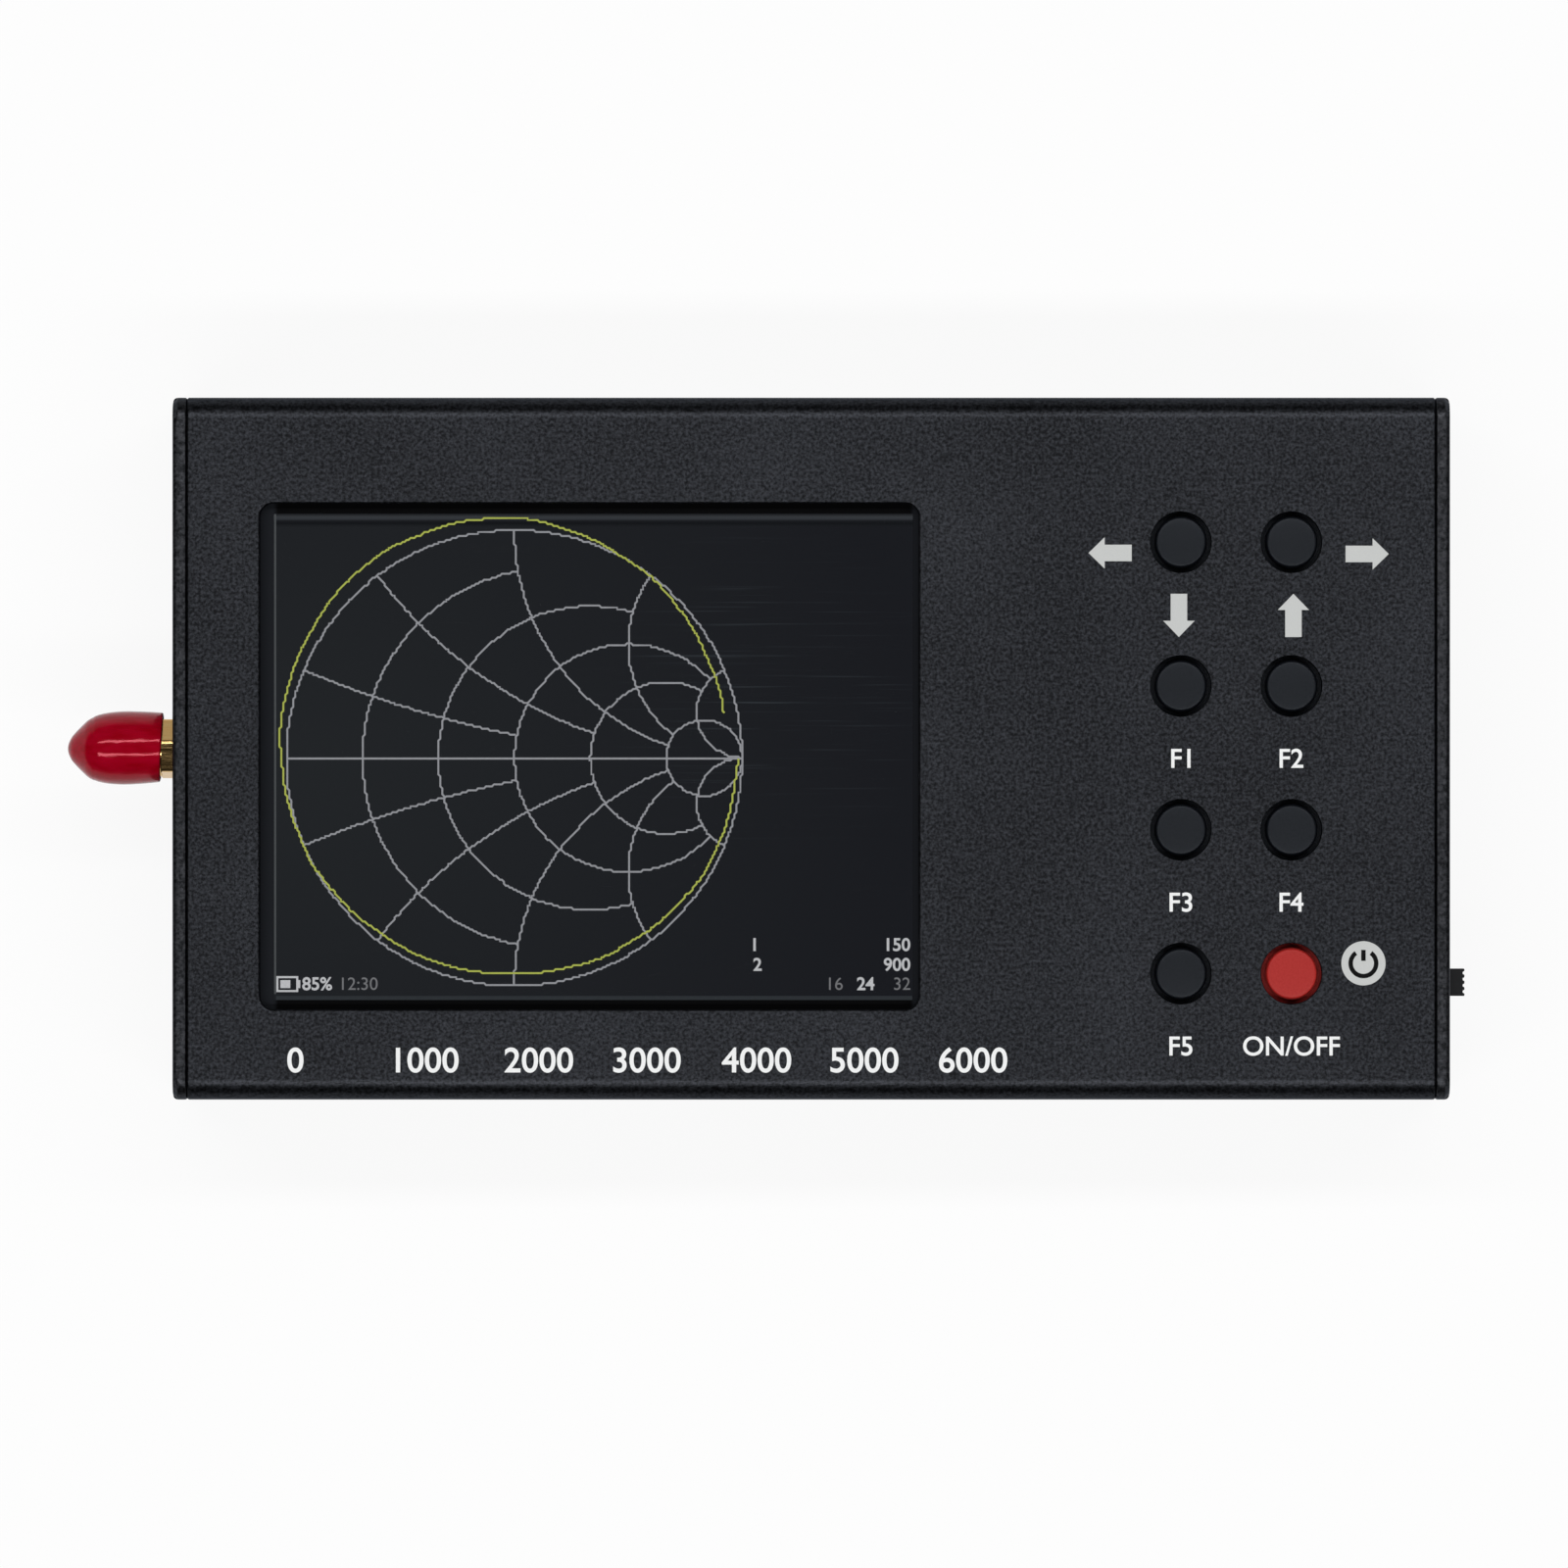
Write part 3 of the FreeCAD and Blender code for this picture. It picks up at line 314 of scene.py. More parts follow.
def makePolariser():
    # Backlit display that shows black: a deep blue-grey that never goes quite dark, a little
    # brighter at its left end, with faint wiping smears on the glass whose sheen is painted in as
    # glow along its length, and a painted reflection of the window's edge along its upper edge
    material, tree, shader = newMaterial(
        "displayPolariser", Base_Color=hexColour("#000000"), Roughness=0.5,
        Specular_IOR_Level=0.0, Emission_Strength=1.0)
    onPiece = addNode(tree, "TexCoord").outputs["Object"]
    unit = backGlow["unitMm"]
    place = addNode(tree, "Mapping", {
        "Vector": onPiece, "Scale": perMetre(unit, unit, 1000.0)}).outputs["Vector"]
    middle = addNode(tree, "VectorMath", {0: place, 1: backGlow["centre"]}, operation="DISTANCE")
    nearness = addNode(tree, "MapRange", {
        "Value": middle.outputs["Value"], "From Min": 0.0, "From Max": backGlow["reach"],
        "To Min": 1.0, "To Max": 0.0})
    base = addNode(tree, "ValToRGB", {"Fac": nearness.outputs["Result"]},
                   ((0.0, hexColour("#191a1f")), (1.0, hexColour("#232528"))))
    # painted sheen: faint wiping smears on the glass, drawn as paler glow in the display
    drawn = addNode(tree, "Mapping", {
        "Vector": onPiece, "Scale": perMetre(*smearSheen["sizesMm"])}).outputs["Vector"]
    noise = addNode(tree, "TexNoise", {"Vector": drawn, "Scale": 1.0, "Detail": 2.0,
                                       "Roughness": 0.5})
    smearSheenMask = addNode(tree, "MapRange", {
        "Value": noise.outputs["Fac"], "From Min": smearSheen["share"][0],
        "From Max": smearSheen["share"][1], "To Min": 0.0, "To Max": 1.0})
    where = addNode(tree, "VectorMath", {0: place, 1: smearSheen["centre"]}, operation="DISTANCE")
    patch = addNode(tree, "MapRange", {
        "Value": where.outputs["Value"], "From Min": smearSheen["fade"][0],
        "From Max": smearSheen["fade"][1], "To Min": 1.0, "To Max": 0.0})
    amount = addNode(tree, "Math", {0: smearSheenMask.outputs["Result"], 1: patch.outputs["Result"]},
                     operation="MULTIPLY")
    withSmearSheen = addNode(tree, "Mix", {0: amount.outputs["Value"], 6: base.outputs["Color"],
                                  7: hexColour("#3a3f44")}, data_type="RGBA")
    # along the upper edge a painted reflection of the window's edge: a soft pale band with a
    # painted dark line under it
    inMm = addNode(tree, "Mapping", {
        "Vector": onPiece, "Scale": perMetre(1, 1, 1)}).outputs["Vector"]
    height = addNode(tree, "SeparateXYZ", {"Vector": inMm}).outputs["Y"]
    depth = addNode(tree, "MapRange", {
        "Value": height, "From Min": pictureTop / mm - paintedEdgeReflection["reach"],
        "From Max": pictureTop / mm, "To Min": 1.0, "To Max": 0.0}).outputs["Result"]
    reflectionBand = addNode(tree, "ValToRGB", {"Fac": depth},
                   [(stop, hexColour(colour)) for stop, colour in paintedEdgeReflection["stops"]])
    inReflectionBand = addNode(tree, "MapRange", {"Value": depth, "From Min": paintedEdgeReflection["blend"],
                                        "From Max": 1.0, "To Min": 1.0, "To Max": 0.0})
    shown = addNode(tree, "Mix", {0: inReflectionBand.outputs["Result"], 6: withSmearSheen.outputs[2],
                                  7: reflectionBand.outputs["Color"]}, data_type="RGBA")
    feed(shader, {"Emission Color": shown.outputs[2]})
    return material


def makeGasket():
    # Foam under the edge of the glass: black and without shine; painted light makes it a little
    # paler at both ends, and painted shade makes it darker still along the top and bottom, under
    # the window's edge
    material, tree, shader = newMaterial("gasketFoam", Roughness=0.95, Specular_IOR_Level=0.1)
    onPiece = addNode(tree, "TexCoord").outputs["Object"]
    inMm = addNode(tree, "Mapping", {
        "Vector": onPiece, "Scale": perMetre(1, 1, 1)}).outputs["Vector"]
    along = addNode(tree, "SeparateXYZ", {"Vector": inMm}).outputs["X"]
    left = addNode(tree, "MapRange", {
        "Value": along, "From Min": pictureLeft / mm - 0.25, "From Max": pictureLeft / mm + 0.2,
        "To Min": 1.0, "To Max": 0.0})
    right = addNode(tree, "MapRange", {
        "Value": along, "From Min": pictureRight / mm - 0.2, "From Max": pictureRight / mm + 0.2,
        "To Min": 0.0, "To Max": 1.0})
    ends = addNode(tree, "Math", {0: left.outputs["Result"], 1: right.outputs["Result"]},
                   operation="ADD")
    # painted shade in the middle, painted light at both ends
    colour = addNode(tree, "Mix", {0: ends.outputs["Value"], 6: hexColour("#020203"),
                                   7: hexColour("#1a1c20")}, data_type="RGBA")
    cells = addNode(tree, "TexNoise", {"Vector": onPiece, "Scale": 1 / (0.3 * mm),
                                       "Detail": 2.0, "Roughness": 0.6})
    relief = addNode(tree, "Bump", {"Height": cells.outputs["Fac"], "Distance": 0.02 * mm,
                                    "Strength": 1.0})
    feed(shader, {"Base Color": colour.outputs[2], "Normal": relief.outputs["Normal"]})
    return material


def makeBoard():
    # Black solder mask over copper: satin, with the tracks just showing as lighter ways
    material, tree, shader = newMaterial("solderMaskBlack", Roughness=0.35)
    place = addNode(tree, "TexCoord").outputs["Object"]
    place = addNode(tree, "Mapping", {"Vector": place, "Scale": perMetre(1.4, 1.4, 1000.0)})
    tracks = addNode(tree, "TexBrick", {
        "Vector": place.outputs["Vector"], "Color1": hexColour("#101514"),
        "Color2": hexColour("#151c1a"), "Mortar": hexColour("#232d29"), "Scale": 1.0,
        "Mortar Size": 0.04})
    relief = addNode(tree, "Bump", {"Height": tracks.outputs["Fac"], "Distance": 0.02 * mm,
                                    "Strength": 1.0})
    feed(shader, {"Base Color": tracks.outputs["Color"], "Normal": relief.outputs["Normal"]})
    return material


def makeFoam(name, dark, light):
    # Closed-cell foam: matt, pale and pitted with small cells
    material, tree, shader = newMaterial(name, Roughness=0.95, Specular_IOR_Level=0.15)
    place = addNode(tree, "TexCoord").outputs["Object"]
    cells = addNode(tree, "TexVoronoi", {
        "Vector": place, "Scale": 1 / (0.3 * mm)}).outputs["Distance"]
    colour = addNode(tree, "ValToRGB", {"Fac": cells},
                     ((0.1, hexColour(light)), (0.8, hexColour(dark))))
    relief = addNode(tree, "Bump", {"Height": cells, "Distance": 0.05 * mm, "Strength": 1.0})
    feed(shader, {"Base Color": colour.outputs["Color"], "Normal": relief.outputs["Normal"]})
    return material


print("materials")
materials = {
    # drawn extrusion: charcoal with fine pale specks under a wide, soft sheen
    "caseAnodise": blastedAnodise("blastedAnodiseBlack", "#1b1c1e", "#3b3d42", 0.32, 0.39),
    # sawn plate: the same skin over a rougher face, so a shade paler
    "plateAnodise": blastedAnodise("flatAnodiseBlack", "#1e1f21", "#434448", 0.36, 0.39),
    # ABS from a satin mould: near black under a soft, cool sheen
    "keyBlack": mouldedPlastic("absBlack", "#07090e", "#0b0e13", 0.4, 0.2,
                               Specular_IOR_Level=0.24, Specular_Tint=hexColour("#ecf4ff")),
    # ABS dyed through: flat brick red that hardly shines
    "keyRed": mouldedPlastic("absRed", "#a4231f", "#ad2b27", 0.4, 0.2, Specular_IOR_Level=0.2),
    # filled nylon: dark grey and dull
    "leverBlack": mouldedPlastic("nylonBlack", "#101114", "#17181b", 0.5,
                                 Specular_IOR_Level=0.2),
    # acetal: black with a waxy gloss
    "plungerBlack": mouldedPlastic("acetalBlack", "#141414", "#1c1c1c", 0.4),
    # thermoset base: dry, dull black
    "switchBlack": mouldedPlastic("thermosetBlack", "#101010", "#1a1a1a", 0.6),
    # liquid crystal polymer: deep black, half matt
    "usbBlack": mouldedPlastic("liquidCrystalPolymerBlack", "#0c0c0c", "#151515", 0.5),
    # undyed nylon: warm ivory, half matt
    "connectorIvory": mouldedPlastic("nylonIvory", "#cfc6ac", "#ddd5bd", 0.5),
    # white polycarbonate: clean white with a slight gloss
    "trayWhite": mouldedPlastic("polycarbonateWhite", "#d9d9d4", "#e6e6e2", 0.45),
    # epoxy filled with silica: matt black, finely sanded
    "chipEpoxy": mouldedPlastic("mouldedEpoxy", "#0e0e0f", "#1b1b1c", 0.7, 0.08),
    # fluoropolymer: milky white with a soft gloss
    "insulatorWhite": mouldedPlastic("fluoropolymerWhite", "#e4e4e0", "#efefec", 0.4),
    # silicone sleeve: deep red with a rubbery sheen
    "leadRed": mouldedPlastic("siliconeRed", "#7a0c0c", "#8e1414", 0.45),
    # polyimide film: glossy amber
    "flexAmber": mouldedPlastic("polyimideAmber", "#9a5a10", "#b06c1c", 0.3),
    # screen printed inks: opaque, flat and nearly matt
    "inkWhite": mouldedPlastic("screenInkWhite", "#eceded", "#f6f7f7", 0.6, 0.1, 0.003),
    "inkGrey": mouldedPlastic("screenInkGrey", "#c0c2c1", "#cbcdcb", 0.6, 0.1, 0.003),
    "inkDark": mouldedPlastic("screenInkDark", "#050506", "#0a0a0b", 0.6, 0.1, 0.003,
                              Specular_IOR_Level=0.08),
    # gold over turned brass: warm, bright and nearly a mirror
    "gold": platedMetal("goldPlate", "#c29b62", "#d4b278", 0.14, (4.0, 0.3, 0.3)),
    # tinned sheet steel: soft, pale grey shine
    "steelBright": platedMetal("tinPlate", "#b9b9b6", "#cfcfcc", 0.3),
    # black zinc on screws: dark grey, low gloss, slightly uneven
    "steelBlack": platedMetal("blackZinc", "#232427", "#37383b", 0.3, (0.2, 0.2, 0.2)),
    # laminated foil pouch: pale silver with gentle dents
    "pouchFoil": platedMetal("pouchFoil", "#a9a9ac", "#bdbdc0", 0.35, (3.0, 3.0, 3.0)),
    "vinyl": makeVinyl(),
    "glass": makeGlass(),
    "polariser": makePolariser(),
    "board": makeBoard(),
    "gasket": makeGasket(),
    # white mounting foam: chalky, with small pits
    "foamWhite": makeFoam("foamWhite", "#c9c9c4", "#dcdcd8"),
    # display dots: grid, trace, texts, dimmed texts, and painted highlights along the left and
    # lower edges
    "litGrid": litColour("litGrid", "#9b9a9f"),
    "litTrace": litColour("litTrace", "#b3b956"),
    "litText": litColour("litText", "#c8c6c9"),
    "litDim": litColour("litDim", "#78777a"),
    # the last two are painted highlights of the edge under the glass, given a steady glow
    "litSide": litColour("litSide", "#4d4f51"),
    "litLow": litColour("litLow", "#303337"),
}

nodeFinish = {
    "display_gasket": "gasket", "lcd_cell": "polariser", "lcd_backlight": "trayWhite",
    "display_tape": "foamWhite", "lcd_flex": "flexAmber", "flex_connector": "connectorIvory",
    "main_board": "board", "shield_frame": "steelBright", "shield_lid": "steelBright",
    "radio_chips": "chipEpoxy", "main_processor": "chipEpoxy", "key_switch_bases": "switchBlack",
    "key_switch_covers": "steelBright", "port_insulator": "insulatorWhite",
    "port_contact": "gold", "slide_switch_case": "steelBright",
    "slide_switch_base": "switchBlack", "usb_shell": "steelBright", "usb_tongue": "usbBlack",
    "battery_cell": "pouchFoil", "battery_pad": "foamWhite", "battery_plug": "connectorIvory",
    "battery_header": "connectorIvory", "battery_lead": "leadRed",
}
nodeFinish.update({f"key_{name}_plunger": "plungerBlack" for name in keyNames})
for nodeName, finish in nodeFinish.items():
    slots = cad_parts[nodeName].data.materials
    slots.clear()
    slots.append(materials[finish])


print("case")
skin = {"corner": 2.15 * mm, "rim": 0.5 * mm, "rimSteps": 4, "seamBreak": 0.17 * mm,
        "edgeBreak": 0.1 * mm, "tolerance": 0.003 * mm}
plateEnds = {"left_end_plate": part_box("left_end_plate")[0].x,
             "right_end_plate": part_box("right_end_plate")[1].x}
skinFinish = {"front_shell": ("frontShell", "caseAnodise"),
              "rear_shell": ("rearShell", "caseAnodise"),
              "left_end_plate": ("leftPlate", "plateAnodise"),
              "right_end_plate": ("rightPlate", "plateAnodise")}


def roundRim(bm, outerX):
    # the chamfer round the plate becomes a quarter round: its slanting edges are cut into steps and
    # each new corner moves out onto the arc
    size, steps = skin["rim"], skin["rimSteps"]
    inner = {v for v in bm.verts if abs(v.co.x - outerX) < sameSpot}
    slanting = [e for e in bm.edges if len(inner & set(e.verts)) == 1
                and abs(abs(e.verts[0].co.x - e.verts[1].co.x) - size) < sameSpot
                and abs(e.calc_length() - size * math.sqrt(2)) < 2 * sameSpot]
    ends = [(e.verts[0], e.verts[1]) if e.verts[0] in inner else (e.verts[1], e.verts[0])
            for e in slanting]
    tracks = [(first.co.copy(), last.co.copy()) for first, last in ends]
    cut = bmesh.ops.subdivide_edges(bm, edges=slanting, cuts=steps - 1, use_grid_fill=True)
    added = [g for g in cut["geom_inner"] if isinstance(g, bmesh.types.BMVert)]
    for vert in added:
        start, end = min(tracks, key=lambda t: ((t[0] + t[1]) / 2 - vert.co).length)
        share = round((vert.co - start).length / (end - start).length * steps)
        share = share / steps * math.pi / 2
        vert.co = Vector((start.x + (end.x - start.x) * (1 - math.cos(share)),
                          start.y + (end.y - start.y) * math.sin(share),
                          start.z + (end.z - start.z) * math.sin(share)))


def onSkin(place):
    # whether a point is on the rounded outline of the case
    corner, middle = skin["corner"], panelTop / 2
    across = max(0, abs(place.y) - (shellHigh.y - corner))
    up = max(0, abs(place.z - middle) - (middle - corner))
    return abs(math.hypot(across, up) - corner) < skin["tolerance"]


def breakSeam(bm):
    # where plates and extrusions meet, both outer edges are rounded, so the joint is a dark line
    seam = [e for e in bm.edges
            if all(abs(abs(v.co.x) - shellHigh.x) < sameSpot and onSkin(v.co) for v in e.verts)]
    bmesh.ops.bevel(bm, geom=seam, offset=skin["seamBreak"], affect="EDGES", segments=4,
                    profile=0.5, material=-1, clamp_overlap=False)


def softenEdges(piece):
    # machined edges aren't knife sharp: a narrow rounding catches the light
    bevel = piece.modifiers.new("softEdges", "BEVEL")
    bevel.width = skin["edgeBreak"]
    bevel.segments = 2
    bevel.limit_method = "ANGLE"
    bevel.angle_limit = math.radians(30)
    bevel.use_clamp_overlap = True
    # broad faces stay flat beside the rounding
    flats = piece.modifiers.new("flatFaces", "WEIGHTED_NORMAL")
    flats.keep_sharp = True


for nodeName, (pieceName, finish) in skinFinish.items():
    bm = mergedMesh(nodeName)
    if nodeName in plateEnds:
        roundRim(bm, plateEnds[nodeName])
    breakSeam(bm)
    piece = meshObject(bm, pieceName, materials[finish], 30)
    softenEdges(piece)
    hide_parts(nodeName)

lever = meshObject(mergedMesh("slide_switch_lever"), "powerLever", materials["leverBlack"], 30,
                   "power_lever")
softenEdges(lever)
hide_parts("slide_switch_lever")


print("screws")
screw = {"headRadius": 1.9 * mm, "shankRadius": 1.2 * mm, "length": 8.7 * mm, "steps": 48,
         "edgeBreak": 0.09 * mm, "recessWidth": 0.4 * mm, "recessReach": 1.2 * mm,
         "recessDepth": 1.0 * mm, "taper": 0.2, "cutterClear": 0.2 * mm}


def screwPlaces():
    # for each screw: which end it is at, the outer face of its head, and its axis
    low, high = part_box("plate_screws")
    radius = screw["headRadius"]
    for end, outer in ((-1, low.x), (1, high.x)):
        for y in (low.y + radius, high.y - radius):
            for z in (low.z + radius, high.z - radius):
                yield end, outer, y, z


def makeScrews():
    # countersunk heads with a cross recess, cut from a turned blank
    head, shank, edge = screw["headRadius"], screw["shankRadius"], screw["edgeBreak"]
    profile = [(0, 0), (0, head - 2 * edge), (edge, head - edge), (head - shank, shank),
               (screw["length"], shank), (screw["length"], 0)]
    bm = bmesh.new()
    for end, outer, y, z in screwPlaces():
        blank = bmesh.new()
        spinProfile(blank, profile, (outer, y, z), (-end, 0, 0), screw["steps"])
        mesh = bareMesh(blank, "screwBlank")
        bm.from_mesh(mesh)
        bpy.data.meshes.remove(mesh)
    piece = meshObject(bm, "plateScrews", materials["steelBlack"])
    reach, width = screw["recessReach"], screw["recessWidth"]
    cutter = bmesh.new()
    for end, outer, y, z in screwPlaces():
        deep = outer - end * screw["recessDepth"]
        clear = outer + end * screw["cutterClear"]
        for wide, tall in ((reach, width), (width, reach)):
            corners = addBox(cutter, (min(deep, clear), y - wide, z - tall),
                             (max(deep, clear), y + wide, z + tall))
            for corner in corners:
                if abs(corner.co.x - deep) < sameSpot:
                    corner.co.y = y + (corner.co.y - y) * screw["taper"]
                    corner.co.z = z + (corner.co.z - z) * screw["taper"]
    applyCut(piece, addObject("recessCutter", bareMesh(cutter, "recessCutter")))
    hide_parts("plate_screws")


def applyCut(piece, cutterObject):
    modifier = piece.modifiers.new("cut", "BOOLEAN")
    modifier.operation = "DIFFERENCE"
    modifier.solver = "EXACT"
    modifier.use_self = True
    modifier.object = cutterObject
    cutMesh = evaluatedMesh(piece)
    piece.modifiers.clear()
    old = piece.data
    piece.data = cutMesh
    bpy.data.meshes.remove(old)
    bpy.data.objects.remove(cutterObject)


makeScrews()


print("keys")
keyCap = {"rim": 0.25 * mm, "rimTurn": 72, "rimSteps": 6, "draft": 0.1 * mm,
          "draftDepth": 0.9 * mm, "socketRadius": 2.02 * mm, "crown": 0.05 * mm, "crownSteps": 6,
          "flangeRadius": 3.45 * mm, "flangeThickness": 0.4 * mm}


def makeKeyCap(name):
    # round cap with a softly rounded rim, a drawn-in flank, a barely raised middle, a socket for
    # the plunger and a thin flange that keeps it behind the panel
    low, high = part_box(f"key_{name}_cap")
    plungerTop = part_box(f"key_{name}_plunger")[1].z
    radius = (high.x - low.x) / 2
    rim, socket, steps = keyCap["rim"], keyCap["socketRadius"], keyCap["crownSteps"]
    height, topRadius = high.z - low.z, radius - keyCap["draft"] - rim
    crown = [(height - keyCap["crown"] * (i / steps) ** 2, topRadius * i / steps)
             for i in range(steps + 1)]
    rimTop = crown[-1][0]
    corner = arcPoints((rimTop - rim, topRadius), rim, 0, keyCap["rimTurn"], keyCap["rimSteps"])
    flange, thick = keyCap["flangeRadius"], keyCap["flangeThickness"]
    profile = crown + corner[1:] + [(rimTop - keyCap["draftDepth"], radius), (thick, radius),
                                    (thick, flange), (0, flange), (0, socket),
                                    (plungerTop - low.z, socket), (plungerTop - low.z, 0)]
    bm = bmesh.new()
    spinProfile(bm, profile, ((low.x + high.x) / 2, (low.y + high.y) / 2, low.z), (0, 0, 1))
    red = name == "power"
    piece = meshObject(bm, f"keyCap.{name}", materials["keyRed" if red else "keyBlack"], 50,
                       f"key_{name}")
    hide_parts(f"key_{name}_cap")


for keyName in keyNames:
    makeKeyCap(keyName)


print("port and its cap")
dustCap = {"lipSkew": 0.18 * mm, "lipRadius": 0.2 * mm, "lipShare": 0.95, "lipTurn": (90, -60),
           "bore": 3.225 * mm, "boreStart": 3.7 * mm, "boreMouth": 0.5 * mm,
           "skinTolerance": 0.02 * mm, "droop": 0.14 * mm, "steps": 5,
           # distance from the tip and radius, mm
           "nose": ((0, 0), (0.02, 0.28), (0.12, 0.65), (0.4, 1.2), (0.8, 1.68), (1.2, 2.1),
                    (1.6, 2.5), (2.0, 2.87), (2.5, 3.17), (3.2, 3.44), (4.2, 3.64), (5.4, 3.74),
                    (6.4, 3.75)),
           # shares of the whole length and of the widest radius
           "tail": ((0.78, 0.988), (0.9, 0.968))}
jack = {"rootRadius": 2.86 * mm, "boreRadius": 2.1 * mm, "tipBevel": 0.25 * mm,
        "boreBreak": 0.1 * mm, "overlap": 0.2 * mm,
        # thread: tooth shares of the pitch where its crest starts and ends, and where it ends
        "pitch": 0.7056 * mm, "threadStart": 0.35 * mm, "tooth": (0.42, 0.52, 0.94),
        "toothSink": 0.05 * mm, "threadSteps": 48,
        "collarEnd": 1.45 * mm, "collarTurn": 17, "collarCuts": 11, "edgeRounding": 0.14 * mm,
        "chamferRadius": 2.72 * mm, "chamferSink": 0.02 * mm, "chamferSlope": 0.5,
        "acrossFlats": 0.866, "cornerTolerance": 0.01 * mm, "cornerLength": 0.5 * mm,
        "flangeThickness": 1.7 * mm, "leg": 1.0 * mm}


def makeDustCap():
    # dipped cap: long nose, widest behind it, drawn in a little towards a skewed, rounded lip
    low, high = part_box("dust_cap")
    axis = (low.y + high.y) / 2, (low.z + high.z) / 2
    widest = (high.z - low.z) / 2
    total, lip, bore = high.x - low.x, dustCap["lipRadius"], dustCap["bore"]
    profile = smoothPath([(along * mm, radius * mm) for along, radius in dustCap["nose"]],
                         dustCap["steps"])
    profile += [(total * along, widest * reach) for along, reach in dustCap["tail"]]
    profile += arcPoints((total - lip, widest * dustCap["lipShare"] - lip), lip,
                         *dustCap["lipTurn"], 6)
    profile += [(total - dustCap["boreMouth"], bore), (dustCap["boreStart"], bore),
                (dustCap["boreStart"], 0)]
    bm = bmesh.new()
    spinProfile(bm, profile, (low.x, *axis), (1, 0, 0), 128)
    for vert in bm.verts:
        # the lip runs slightly askew, and the skin sits a little to one side there
        share = max(0.0, (vert.co.x - low.x) / total)
        reach = math.hypot(vert.co.y - axis[0], vert.co.z - axis[1])
        outside = reach > bore + dustCap["skinTolerance"]
        vert.co.x += dustCap["lipSkew"] * share ** 4 * (vert.co.y - axis[0]) / widest
        vert.co.y += dustCap["droop"] * share if outside else 0
    piece = meshObject(bm, "dustCap", materials["vinyl"], 60, "port_cap")
    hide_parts("dust_cap")


